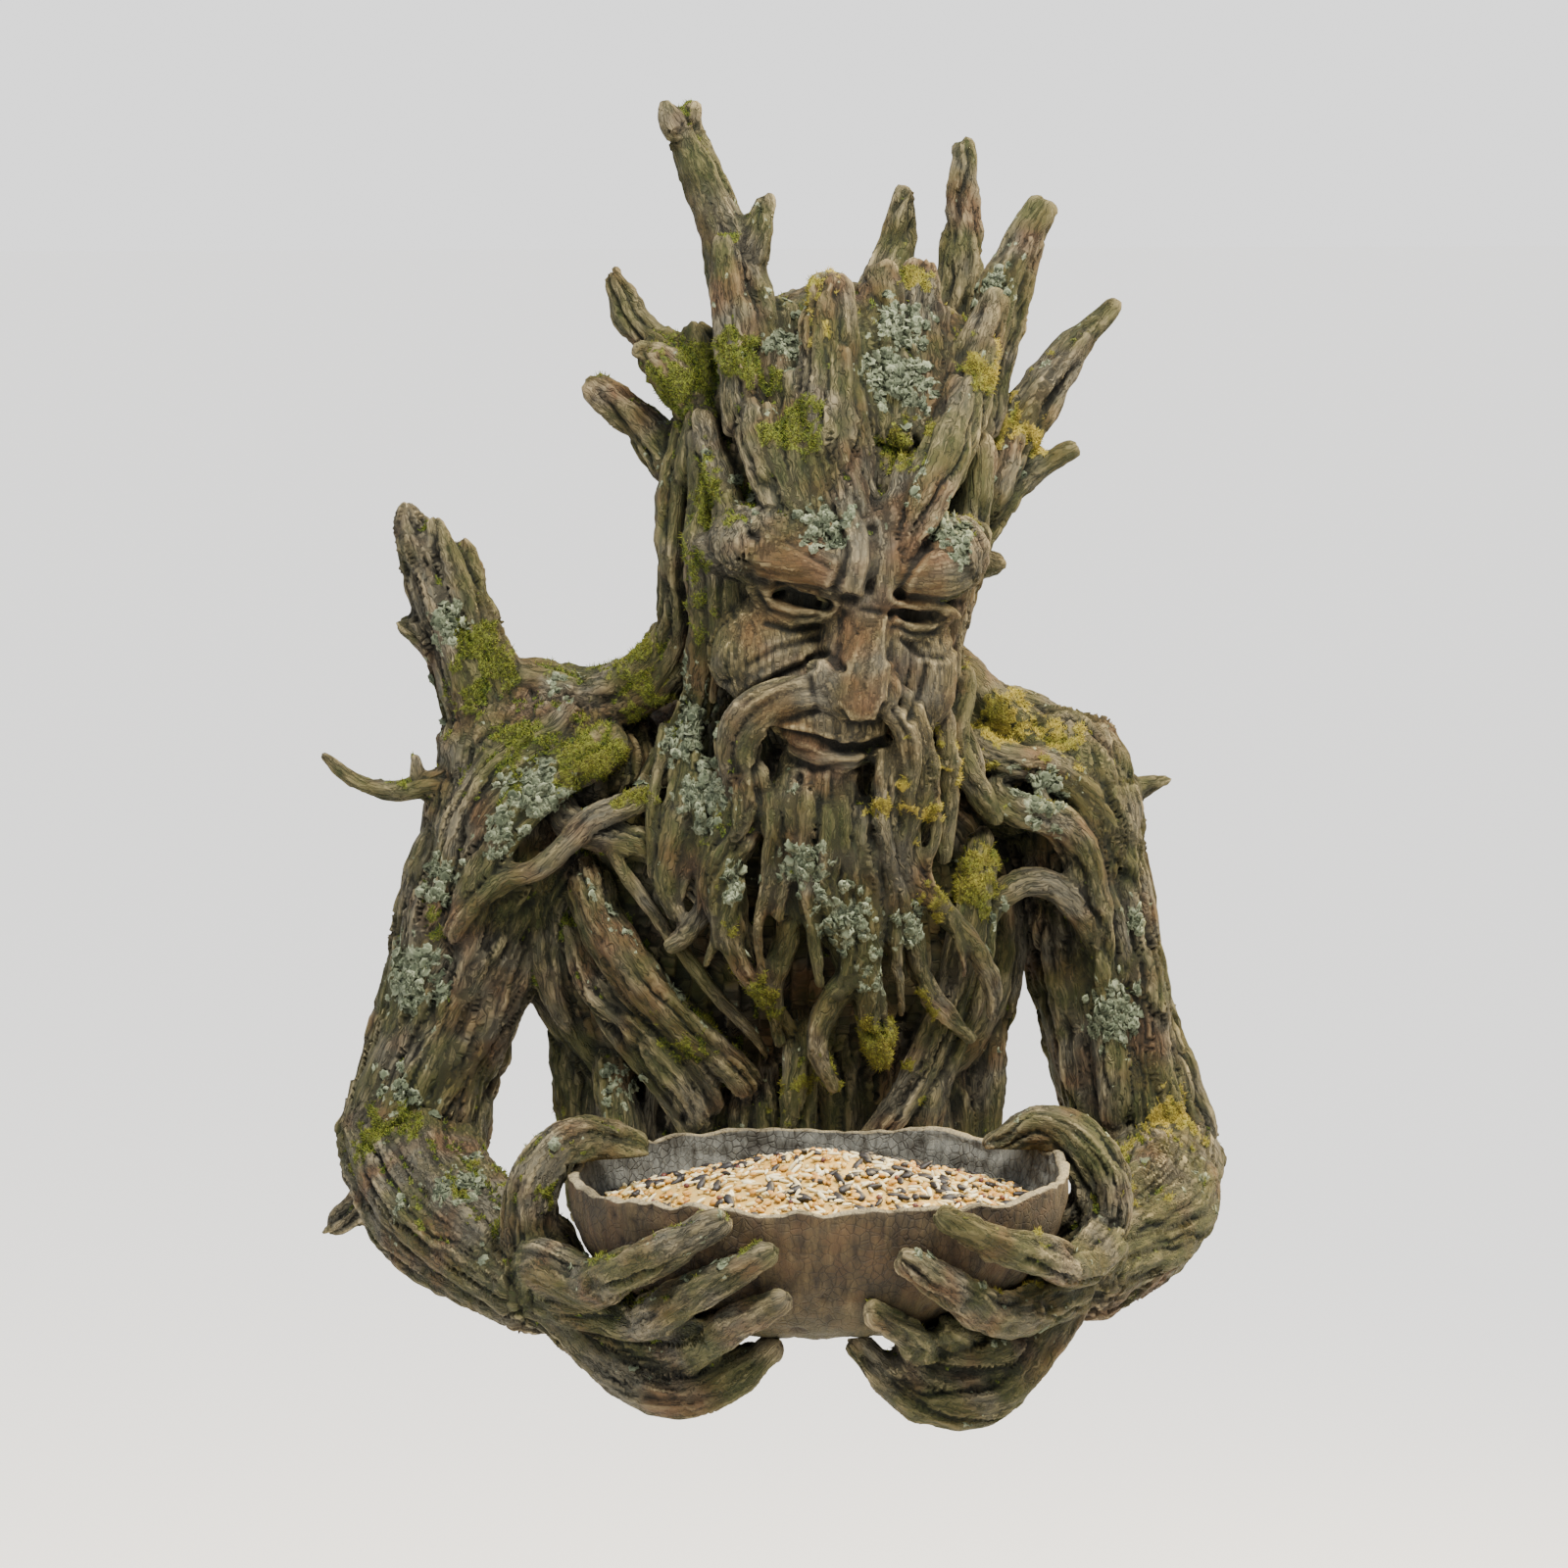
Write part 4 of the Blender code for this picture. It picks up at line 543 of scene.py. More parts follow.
woodDetail = {
    "ringStep": 0.0026,         # metres between the rings of a strand
    "sideStep": 0.0024,         # and round each ring
    "swell": 0.10,              # how uneven a strand is, as a share of its radius
    "voxel": 0.0016,
    "quickVoxel": 0.0030,
    "fuse": (60, 0.72),         # rounds and share by which crevices between strands are grown together
    "behindWall": 0.006,        # how far wood is kept behind the flat back before it is cut
    "pressed": 0.9,             # share by which what lies further back is pressed
    "mostFuse": 0.005,
    "domes": (0.8, 0.5),        # height of a worn end and of a broken one, as shares of the radius
    "massRings": (60, 90),
    "massRoom": 12.0,           # mm of wood that the relief of a mass may count on
    "piece": 186000,            # most triangles in a piece
    "hand": 108000,
}


def smoothRoute(points, radii):
    # points and radii close together on a smooth line through the given ones
    knots = np.array([tuple(point) for point in points])
    radii = np.array(radii)
    gaps = np.linalg.norm(np.diff(knots, axis=0), axis=1)
    ways = np.diff(knots, axis=0) / gaps[:, None]
    lean = np.vstack([ways[:1], ways[:-1] + ways[1:], ways[-1:]])
    lean /= np.linalg.norm(lean, axis=1)[:, None]
    line, width = [], []
    for step, gap in enumerate(gaps):
        count = max(2, int(gap / woodDetail["ringStep"]))
        t = np.arange(count)[:, None] / count
        start, end = knots[step], knots[step + 1]
        near, far = start + lean[step] * gap * 0.39, end - lean[step + 1] * gap * 0.39
        bend = 3 * near * t * (1 - t) ** 2 + 3 * far * t * t * (1 - t)
        line.append(start * (1 - t) ** 3 + bend + end * t ** 3)
        width.append(radii[step] + (radii[step + 1] - radii[step]) * t[:, 0])
    line = np.vstack(line + [knots[-1:]])
    width = np.concatenate(width + [radii[-1:]])
    along = np.concatenate([[0], np.cumsum(np.linalg.norm(np.diff(line, axis=0), axis=1))])
    return line, width, along


def ringFaces(rings, sides):
    first = (np.arange(rings - 1)[:, None] * sides + np.arange(sides)[None, :]).ravel()
    after = (np.arange(rings - 1)[:, None] * sides + (np.arange(sides)[None, :] + 1) % sides).ravel()
    return np.stack([first, after, after + sides, first + sides], axis=1)


def strandSurface(points, radii, key, broken=False, swell=None):
    # one strand as rings, with its own lengthways coordinates in mm for the grain
    swell = woodDetail["swell"] if swell is None else swell
    line, width, along = smoothRoute(points, radii)
    ways = np.gradient(line, axis=0)
    ways /= np.linalg.norm(ways, axis=1)[:, None]
    aside = np.cross(ways[0], (0.31, 0.87, 0.12))
    asides = []
    for way in ways:
        aside = aside - way * aside.dot(way)
        aside /= np.linalg.norm(aside)
        asides.append(aside)
    asides = np.array(asides)
    thirds = np.cross(ways, asides)
    sides = int(np.clip(math.tau * width.max() / woodDetail["sideStep"], 10, 46))
    turns = np.arange(sides) * math.tau / sides
    typical = width.mean()
    count = len(line)
    length = np.repeat(along, sides)
    round1, round2 = np.tile(np.cos(turns), count), np.tile(np.sin(turns), count)
    slow = noise(np.stack([length / typical / 5.5 + key * 3.7, round1 * 0.9 + key * 7.3, round2 * 0.9], 1))
    fluted = noise(np.stack([length / typical / 10, round1 * 2.3 + key * 3.1, round2 * 2.3 + 5], 1))
    reach = np.repeat(width, sides) * (1 + swell * slow + swell * 0.7 * fluted)
    wide, deep = reach * round1, reach * round2
    spots = np.repeat(line, sides, 0) + np.repeat(asides, sides, 0) * wide[:, None]
    spots += np.repeat(thirds, sides, 0) * deep[:, None]
    grain = np.stack([length, wide, deep], 1) * 1000
    # ends: worn round, and uneven where the wood broke
    ends = []
    high = woodDetail["domes"][broken]
    for ring, outward in ((0, -1), (count - 1, 1)):
        chosen = slice(ring * sides, (ring + 1) * sides)
        if broken:
            splinter = noise(np.stack([
                np.cos(turns) * 1.9, np.sin(turns) * 1.9, np.full(sides, key * 2.9 + ring)], 1))
            spots[chosen] += (ways[ring] * outward)[None, :] * (splinter * 0.5 * width[ring])[:, None]
        domes = []
        for tilt in (0.5, 1.0):
            ringSpots = line[ring] + (spots[chosen] - line[ring]) * math.cos(tilt)
            domes.append(ringSpots + ways[ring] * outward * width[ring] * math.sin(tilt) * high)
        ends.append(np.vstack(domes + [(line[ring] + ways[ring] * outward * width[ring] * high)[None, :]]))
    quads = [ringFaces(count, sides)]
    tris = []
    for extra, ring, outward in zip(ends, (0, count - 1), (-1, 1)):
        base = ring * sides + np.arange(sides)
        start = len(spots)
        spots = np.vstack([spots, extra])
        grain = np.vstack([grain, np.repeat(grain[ring * sides:ring * sides + 1], len(extra), 0)])
        grain[start:, 1:] = 0
        for step in range(2):
            outer = start + step * sides + np.arange(sides)
            grain[outer] = grain[base]
            quads.append(np.stack([base, np.roll(base, -1), np.roll(outer, -1), outer], 1)[:, ::outward])
            base = outer
        tip = np.full(sides, len(spots) - 1)
        tris.append(np.stack([base, np.roll(base, -1), tip], 1)[:, ::outward])
    grain[:, 0] += key * 61.7
    grain[:, 1] += key * 13.1
    return {"spots": spots, "quads": np.vstack(quads), "tris": np.vstack(tris), "grain": grain,
            "room": np.full(len(spots), typical * 1000)}


def massSurface(mass, key):
    # a rounded mass as rings round an upright axis
    across, up, depth, halfWidth, halfHeight, halfDepth = mass
    rings, sides = woodDetail["massRings"]
    tilts = np.repeat(np.linspace(-1.52, 1.52, rings), sides)
    turns = np.tile(np.arange(sides) * math.tau / sides, rings)
    unit = np.stack([np.cos(tilts) * np.cos(turns), np.cos(tilts) * np.sin(turns), np.sin(tilts)], 1)
    size = np.array((halfWidth, halfDepth, halfHeight)) * square
    rough = 1 + 0.03 * roughNoise(unit * 2.4 + key * 5.1)
    spots = unit * size * rough[:, None]
    grain = spots[:, [2, 0, 1]] * 1000
    spots = np.vstack([spots, [[0, 0, -size[2]], [0, 0, size[2]]]]) + np.array(placed(across, up, depth))
    grain = np.vstack([grain, [[-size[2] * 1000, 0, 0], [size[2] * 1000, 0, 0]]])
    low, high = np.arange(sides), (rings - 1) * sides + np.arange(sides)
    tris = np.vstack([
        np.stack([np.roll(low, -1), low, np.full(sides, len(spots) - 2)], 1),
        np.stack([high, np.roll(high, -1), np.full(sides, len(spots) - 1)], 1),
    ])
    grain[:, 0] += key * 47.3
    return {"spots": spots, "quads": ringFaces(rings, sides), "tris": tris, "grain": grain,
            "room": np.full(len(spots), woodDetail["massRoom"])}


def joined(parts):
    starts = np.cumsum([0] + [len(part["spots"]) for part in parts])
    return {
        "spots": np.vstack([part["spots"] for part in parts]),
        "quads": np.vstack([part["quads"] + start for part, start in zip(parts, starts)]),
        "tris": np.vstack([part["tris"] + start for part, start in zip(parts, starts)]),
        "grain": np.vstack([part["grain"] for part in parts]),
        "room": np.concatenate([part["room"] for part in parts]),
    }


def united(name, parts):
    # the outer skin of overlapping strands and masses, with each point's grain and room for relief
    raw = joined(parts)
    spots = raw["spots"].copy()
    # what lies behind the wall is pressed thin, so that no two skins coincide
    spots[:, 1] -= woodDetail["pressed"] * np.maximum(spots[:, 1] - woodDetail["behindWall"], 0)
    item = objectFrom(name, meshFrom(name, spots, [raw["quads"], raw["tris"]]))
    unite = item.modifiers.new("unite", "REMESH")
    unite.mode = "VOXEL"
    unite.voxel_size = woodDetail["voxel"]
    mesh = settled(item)
    bpy.data.objects.remove(item, do_unlink=True)
    corners = np.empty(len(mesh.loops), np.int32)
    mesh.loops.foreach_get("vertex_index", corners)
    skin, faces = largestShell(spotsOf(mesh), corners.reshape(-1, 4))
    bpy.data.meshes.remove(mesh)
    near = nearestIn(raw["spots"], skin)
    skin = smoothed(skin, faces, 2)
    # crevices grown partly together, as in one block of wood
    rounds, share = woodDetail["fuse"]
    normals = normalsOf(smoothed(skin, faces, 4), faces)
    rounds = rounds
    lift = np.einsum("ij,ij->i", smoothed(skin, faces, rounds) - skin, normals)
    lift = np.clip(lift, 0, woodDetail["mostFuse"]) * share
    skin = smoothed(skin + normals * lift[:, None], faces, 2)
    return {"spots": skin, "faces": faces, "grain": raw["grain"][near], "room": raw["room"][near]}


# the hands' roots run over the dish, whose shape comes with its box

dishShape = {
    "foot": 0.5, "hollow": 2.2, "belly": 0.6, "wall": 0.008, "floor": 0.012,
    "fingerRadius": 0.0118, "seedEdge": 0.74, "wave": 0.0025, "waveReach": 8,
}
dishMiddle = Vector(((dishLow.x + dishHigh.x) / 2, (dishLow.y + dishHigh.y) / 2, dishLow.z))
dishWide, dishDeep = (dishHigh.x - dishLow.x) / 2, (dishHigh.y - dishLow.y) / 2
dishTall = 0.082            # the rim's mean height, which its waves rise above


def dishShare(heightShare):
    level = min(max(heightShare, 0), 1)
    curve = (1 - (1 - level) ** dishShape["hollow"]) ** dishShape["belly"]
    return dishShape["foot"] + (1 - dishShape["foot"]) * curve


def besideDish(side, angle, heightShare, gap):
    turn = math.radians(angle)
    wide = dishShare(heightShare)
    offset = gap * dishShape["fingerRadius"]
    across = side * (dishWide * wide + offset) * math.sin(turn)
    forward = (dishDeep * wide + offset) * math.cos(turn)
    return dishMiddle + Vector((across, -forward, dishTall * heightShare))


def handRoute(side, rows):
    points = [besideDish(side, angle, height, gap) for angle, height, gap, thick in rows]
    return points, [thick * dishShape["fingerRadius"] for angle, height, gap, thick in rows]


def sheetRoute(rows):
    return [placed(*row[:3]) for row in rows], [row[3] * square for row in rows]


def rooted(strands, tail=True):
    # strands whose upper ends, and lower ones if wanted, dive into the wood that they lie on
    sunk = []
    for rows in strands:
        across, up, depth, radius = rows[0]
        further = [(across, up + 1.6, depth - 2.6, radius * 0.6)] + rows
        if tail:
            across, up, depth, radius = rows[-1]
            further = further + [(across, up - 1.4, depth - 2.4, radius * 0.5)]
        sunk.append(further)
    return sunk


def barkOver(mass, turns, radius, low=-62, high=58, seed=0):
    # ridges of bark up and down a rounded mass, at some turns round it
    across, up, depth, halfWidth, halfHeight, halfDepth = mass
    draw = random.Random(seed)
    ridges = []
    for turn in turns:
        rows = []
        for step in range(5):
            tilt = math.radians(low + (high - low) * step / 4)
            bend = math.radians(turn + draw.uniform(-4, 4))
            rows.append((
                across + halfWidth * math.cos(tilt) * math.sin(bend),
                up + halfHeight * math.sin(tilt),
                depth + halfDepth * math.cos(tilt) * math.cos(bend),
                radius * draw.uniform(0.75, 1.2),
            ))
        ridges.append(rows)
    return ridges


def ridgesAlong(route, count, twist, seed=0, thick=(0.3, 0.42), out=0.74):
    # ridges of bark round a limb
    points, radii = route
    draw = random.Random(seed)
    ridges = []
    for number in range(count):
        ridge, sizes = [], []
        start = math.tau * number / count
        for step, point in enumerate(points):
            along = (points[min(step + 1, len(points) - 1)] - points[max(step - 1, 0)]).normalized()
            aside = along.cross(Vector((0.2, 1, 0.1))).normalized()
            turn = start + twist * step + draw.uniform(-0.15, 0.15)
            outward = aside * math.cos(turn) + along.cross(aside) * math.sin(turn)
            ridge.append(point + outward * radii[step] * out)
            sizes.append(radii[step] * draw.uniform(*thick))
        ridges.append((ridge, sizes))
    return ridges


# the figure's pieces

def routed(routes, first, broken=False, swell=None):
    return [strandSurface(*route, first + number, broken, swell) for number, route in enumerate(routes)]


def drawn(strands, first, broken=False, swell=None):
    return routed([sheetRoute(rows) for rows in strands], first, broken, swell)


def rounded(some, first):
    return [massSurface(mass, first + number) for number, mass in enumerate(some)]


temple = (-5.2, 80.6, 26.6, 3.6, 5.6, 4.4)     # closes the pit between brow and cheek


def headParts():
    parts = rounded(masses[:1] + masses[3:6] + masses[10:23], 1) + rounded([temple], 15)
    parts += drawn(crown, 20, True) + drawn(backStubs, 50, True)
    parts += drawn(rooted(headSides), 60) + drawn(brows, 70, swell=0.05) + drawn(eyelids, 80, swell=0.04)
    parts += drawn(nose, 90, swell=0.03) + drawn(mouth, 95, swell=0.06)
    parts += drawn(rooted(beard, False), 105) + drawn(rooted(fineBeard, False), 120)
    parts += drawn(fineCrown, 150)
    parts += drawn(barkOver(skull, (120, 135, 150, 165, 180, 195, 210, 225, 240), 1.6, seed=5), 180)
    return parts


def bodyParts():
    parts = rounded(masses[1:3] + masses[6:10] + masses[23:], 31)
    parts += drawn(rooted(torso), 200) + drawn(shoulders[:10], 220, True) + drawn(rooted(shoulders[10:]), 235)
    parts += drawn(arms[:2], 245) + drawn(arms[2:], 248, True) + drawn(rooted(fineTorso), 250)
    turns = (-74, -64, -54, -44, -34, -24, -15, -6, 3, 12, 22, 32, 42, 52, 62, 72)
    parts += drawn(barkOver(belly, turns, 1.3, seed=2), 280)
    parts += drawn(barkOver(chest, (-78, -66, 66, 78), 1.6, seed=4), 300)
    for seed, rows in enumerate(arms[:2]):
        parts += routed(ridgesAlong(sheetRoute(rows), 7, 0.25, seed), 310 + seed * 10)
        fineRidges = ridgesAlong(sheetRoute(rows), 5, 0.32, seed + 20, (0.18, 0.28), 0.84)
        parts += routed(fineRidges, 330 + seed * 12)
    parts += routed(ridgesAlong(sheetRoute(shoulders[1]), 5, 0.1, 7), 360)
    return parts


def handParts(side):
    first = 400 + 50 * (side > 0)
    elbow, elbowRadius = sheetRoute([elbows[side]])
    forearm, forearmRadius = sheetRoute([forearms[side]])
    palm, palmRadius = handRoute(side, [wrist])
    lowerArm = (elbow + forearm + palm, elbowRadius + forearmRadius + palmRadius)
    parts = routed([lowerArm], first)
    parts += routed(ridgesAlong(lowerArm, 7, 0.35, 3 + side), first + 1)
    parts += routed(ridgesAlong(lowerArm, 5, 0.42, 30 + side, (0.18, 0.28), 0.86), first + 10)
    for number, finger in enumerate(fingers[side] + [thumbs[side]] + webs[side]):
        points, radii = handRoute(side, finger)
        parts += routed([(palm + points, [radii[0] * 1.15] + radii)], first + 30 + number, swell=0.2)
    return parts


# relief: fibres, cracks, the face's lines, then moss and lichen crust

reliefDetail = {
    "waves": [                          # mm high, and mm per wave along and across the grain
        (2.4, (70, 15, 15)), (1.3, (36, 7.5, 7.5)), (0.55, (17, 3.8, 3.8)),
    ],
    "grooves": [                        # mm deep, mm per wave, width as a share, how common
        (4.2, (110, 17, 17), 0.16, 0.42), (1.7, (55, 9, 9), 0.15, 0.28),
    ],
    "lumps": (1.0, 11),
    "bend": (4.5, 24),                  # mm the fibres wander aside, and over how many mm
    "faceShare": 0.3,                   # how much of that the face keeps
    "faceSoft": 0.7,
    "handShare": 0.8,
    "mossRise": 2.2,
    "lichenRise": 0.6,
}

# lines of the face on the sheet: points of (across, up), half width in squares, depth in mm
faceLines = [
    ([(-0.7, 81.2), (1.5, 80.3), (4.5, 79.7)], 0.5, 5.5),
    ([(11.4, 79), (13.5, 78.5), (15.5, 78.6)], 0.48, 5),
    ([(-1.2, 66.8), (2.2, 66.2), (5.7, 65.1), (8, 65.2), (10.3, 65.9)], 0.42, 5),
    ([(2.8, 73.7), (0.5, 72.8), (-2.1, 71.4), (-4.1, 70)], 0.5, 3.4),
    ([(2.6, 74.3), (4.3, 74.8), (5.9, 73.3)], 0.38, 2.4),
    ([(5.6, 87.9), (6.2, 84.9), (5.9, 82.9), (5.1, 81.3)], 0.45, 3),
    ([(9.1, 87.5), (9.2, 84.2), (8.6, 81.3)], 0.45, 3),
    ([(11.7, 80.9), (12.9, 83.6), (15.2, 86.6), (17.9, 89.5)], 0.45, 3),
    ([(7.9, 79.4), (9.6, 79.1), (11.2, 78.9)], 0.32, 1.8),
    ([(-6.4, 83.6), (-3.4, 82.2), (-0.1, 81.6), (4.6, 80.8), (7.2, 80.3)], 0.42, 2.6),
    ([(11.7, 80.7), (15.2, 80.2), (18.2, 80)], 0.4, 2.2),
    ([(-2.9, 81.3), (-1.7, 79.3), (0.9, 78.3), (3.3, 78.6)], 0.34, 2.2),
    ([(-1.9, 77.9), (0.6, 77.1), (3.3, 77.6)], 0.32, 1.7),
    ([(-3.7, 73.6), (-0.7, 75.3), (3.3, 76.3)], 0.36, 1.8),
    ([(-5.4, 79.6), (-4.6, 77.2), (-5, 74.4)], 0.34, 1.3),
    ([(11.6, 77.6), (13.2, 76.8), (15.5, 76.9), (16.5, 78.3)], 0.32, 2),
    ([(11.9, 76.3), (13.9, 74.6), (16.5, 74.3), (17.9, 76.3)], 0.32, 2),
    ([(5.9, 78.9), (4.8, 76.3), (5.6, 73.6)], 0.5, 1.2),
    ([(11, 78.3), (10.9, 74.3)], 0.38, 2.6),
    ([(14.5, 73.6), (13.9, 71), (12.9, 68)], 0.38, 2.6),
    ([(11.2, 69), (12.6, 66.3), (12.9, 63)], 0.32, 2),
    ([(5.6, 68.9), (6.6, 67.6), (9.6, 67.6), (10.3, 69.5)], 0.34, 2.6),
    ([(2.6, 72.3), (3.3, 69), (-0.1, 67.7)], 0.36, 1.5),
    ([(0.6, 64), (3.3, 63), (7.9, 63.4)], 0.42, 2.4),
    ([(-1, 65.7), (-2.9, 62.7), (-3.4, 58.4)], 0.55, 4),
    ([(8.9, 64.7), (8.2, 61.7), (8.4, 57.7)], 0.55, 4),
    ([(1.6, 62.4), (1.3, 57.7)], 0.32, 1.8),
    ([(4.9, 62.4), (4.6, 56)], 0.32, 1.8),
    ([(3.3, 91.9), (5.6, 87.9)], 0.42, 2.6),
    ([(6.6, 91.5), (9.1, 87.5)], 0.42, 2.6),
    ([(-3.4, 89.2), (0.9, 85.9), (4.6, 83.6)], 0.36, 1.5),
    ([(-6.4, 89.2), (-6, 85.9), (-3.4, 82.9)], 0.42, 2),
]
# full parts of the face that stand out: a point, its reach in squares, mm
faceSwells = [
    ((7.4, 84), 1.8, 1.4), ((3.4, 64.4), 1.8, 1), ((7, 64.3), 1.6, 0.8), ((-1, 76), 3, 1),
    ((5, 69), 2, 1), ((16, 83.4), 2.4, 1.2),
]


def faceField(spots, normals):
    # how far each point belongs to the front of the face
    across, up, depth = onSheet(spots)
    share = 1 - np.sqrt(((across - 7) / 15.5) ** 2 + ((up - 75) / 17) ** 2)
    share = rise(0, 0.32, share) * rise(27, 31, depth) * rise(-0.25, 0.35, -normals @ np.array(sightAhead))
    return share, across, up


def lineAway(across, up, points):
    # distance on the sheet to a line through points
    away = np.full(len(across), np.inf)
    for (x0, y0), (x1, y1) in zip(points, points[1:]):
        run = np.array((x1 - x0, y1 - y0))
        along = np.clip(((across - x0) * run[0] + (up - y0) * run[1]) / (run @ run), 0, 1)
        away = np.minimum(away, np.hypot(across - x0 - along * run[0], up - y0 - along * run[1]))
    return away


def patchCentres(spots, patches):
    # each patch's middle on the frontmost wood at its place on the sheet
    across, up, depth = onSheet(spots)
    centres = []
    for patch in patches:
        near = np.hypot(across - patch[0], up - patch[1]) < 0.9
        if near.any():
            chosen = np.flatnonzero(near)[np.argmax(depth[near])]
            centres.append((spots[chosen], patch[2] * square, patch[3], patch[4] if len(patch) > 4 else 0))
    return centres


def patchField(spots, centres):
    field = np.zeros(len(spots))
    goldAndSunlight = np.zeros(len(spots))
    weight = np.full(len(spots), 1e-6)
    for centre, radius, strength, yellow in centres:
        away = np.linalg.norm(spots - centre, axis=1) / radius
        share = strength * np.clip(1.35 - away, 0, 1.2)
        field = np.maximum(field, share)
        goldAndSunlight += share * yellow
        weight += share
    return field, goldAndSunlight / weight


def growthOn(spots, normals, hollow):
    # moss, lichen and how yellow the moss is, partly its own yellow and partly painted sunlight
    coarse, fine = noise(spots / 0.015), noise(spots / 0.0055 + 7)
    field, goldAndSunlight = patchField(spots, mossCentres)
    shelter = 0.6 * rise(0.1, 0.9, normals[:, 2]) + 0.34 * rise(0.1, 0.9, hollow)
    shelter += 0.5 * noise(spots / 0.055 + 3) + 0.14 * rise(0.03, -0.15, spots[:, 0]) - 0.3
    grown = np.maximum(field * 0.95, shelter) + 0.6 * coarse + 0.5 * fine + 0.4 * hollow
    moss = rise(0.55, 0.95, grown)
    field = patchField(spots, lichenCentres)[0]
    open = 0.45 * noise(spots / 0.045 + 11) + 0.2 * rise(-0.2, 0.8, normals[:, 2])
    crusted = np.maximum(field * 0.88, open) + 0.5 * noise(spots / 0.008 + 5) + 0.35 * noise(spots / 0.0036)
    lichen = rise(0.52, 0.8, crusted)
    onFace = np.exp(-(np.linalg.norm((spots - faceMiddle) / (13 * square), axis=1)) ** 4)
    moss *= 1 - 0.85 * onFace
    lichen *= 1 - 0.9 * onFace * (field < 0.3)
    # painted sunlight: the moss is made yellower on the right side's upward faces, where the low sun falls,
    # and less yellow in hollows as painted shade
    sunny = rise(-0.05, 0.12, spots[:, 0])
    sunlit = 0.1 + 0.3 * sunny * rise(0.3, 0.9, normals[:, 2])
    goldAndSunlight = np.maximum(goldAndSunlight * (0.75 + 0.5 * noise(spots / 0.012 + 9)), sunlit)
    goldAndSunlight = np.clip(goldAndSunlight - 0.5 * rise(0.1, 0.6, hollow), 0, 1)
    return moss, lichen * (1 - 0.8 * moss), goldAndSunlight


def weathered(skin, share):
    # the skin with its relief, and what colours it
    spots, faces, grain, room = skin["spots"], skin["faces"], skin["grain"], skin["room"]
    soft = smoothed(spots, faces, 3)
    onFace, across, up = faceField(soft, normalsOf(soft, faces))
    blur = smoothed(spots, faces, 14)
    spots = spots + (blur - spots) * (onFace * reliefDetail["faceSoft"])[:, None]
    normals = normalsOf(smoothed(spots, faces, 3), faces)
    scale = np.clip(room / 12, 0.4, 1) * share * (1 - (1 - reliefDetail["faceShare"]) * onFace)
    push = np.zeros(len(spots))
    reach, wave = reliefDetail["bend"]
    aside = [reach * noise(spots * 1000 / wave + shift) for shift in (1, 6)]
    bent = grain + np.stack([np.zeros(len(spots))] + aside, 1)
    for number, (height, wave) in enumerate(reliefDetail["waves"]):
        push += height * noise(bent / np.array(wave) + number * 5.3)
    for number, (depth, wave, width, common) in enumerate(reliefDetail["grooves"]):
        line = np.abs(noise(bent / np.array(wave) + 31 + number * 7))
        where = rise(0.05, 0.5, noise(grain / np.array((70, 24, 24)) + 9 + number * 3) + common)
        push -= depth * np.exp(-(line / width) ** 2) * where
    height, wave = reliefDetail["lumps"]
    push += height * noise(spots * 1000 / wave)
    push *= scale * rise(0.004, -0.002, spots[:, 1])     # none behind the wall, where the cut runs
    for points, halfWidth, depth in faceLines:
        away = lineAway(across, up, points) / halfWidth
        lip = np.exp(-((away - 1.9) / 0.8) ** 2) * 0.22
        push -= onFace ** 0.3 * depth * (np.exp(-away ** 2) - lip)
    for (x, y), reach, height in faceSwells:
        push += onFace * height * np.exp(-((across - x) ** 2 + (up - y) ** 2) / (reach / 1.5) ** 2)
    spots = spots + normals * push[:, None] / 1000
    # how far each point lies in a hollow or on a ridge: the colours use it for painted shade in hollows and a
    # painted highlight on ridges, and moss favours hollows
    near = smoothed(spots, faces, 8)
    far = smoothed(near, faces, 36)
    normals = normalsOf(near, faces)
    fineHollow = np.einsum("ij,ij->i", near - spots, normals) * 1000
    wideHollow = np.einsum("ij,ij->i", far - near, normals) * 1000
    hollow = np.clip(fineHollow / 1.2, -1, 1) * 0.5 + np.clip(wideHollow / 3.5, -1, 1) * 0.7
    moss, lichen, goldAndSunlight = growthOn(spots, normals, hollow)
    cushions = 0.65 + 0.5 * noise(spots / 0.0052 + 2) + 0.3 * noise(spots / 0.0024)
    crust = 0.5 + 0.7 * noise(spots / 0.004 + 4)
    grown = reliefDetail["mossRise"] * moss * cushions + reliefDetail["lichenRise"] * lichen * crust
    spots = spots + normals * grown[:, None] / 1000
    return {
        "spots": spots, "faces": faces, "grain": grain,
        "growth": np.stack([moss, lichen, goldAndSunlight], 1), "form": np.stack([hollow * 0.5 + 0.5, onFace, push], 1),
    }


# the cuts: a flat back, the dish's seat and the two keyholes

seatDetail = {"gap": 0.0004, "sides": 72}
keyholeDetail = {"spacing": 0.110, "head": 0.008, "slot": 0.004, "pocket": 0.007, "rise": 0.016, "lip": 0.005,
                 "depth": 0.013}


def boxMesh(low, high):
    work = bmesh.new()
    low, high = Vector(low), Vector(high)
    stretch = Matrix.Diagonal((*(high - low), 1))
    bmesh.ops.create_cube(work, size=1, matrix=Matrix.Translation((low + high) / 2) @ stretch)
    mesh = bpy.data.meshes.new("cut")
    work.to_mesh(mesh)
    work.free()
    return mesh


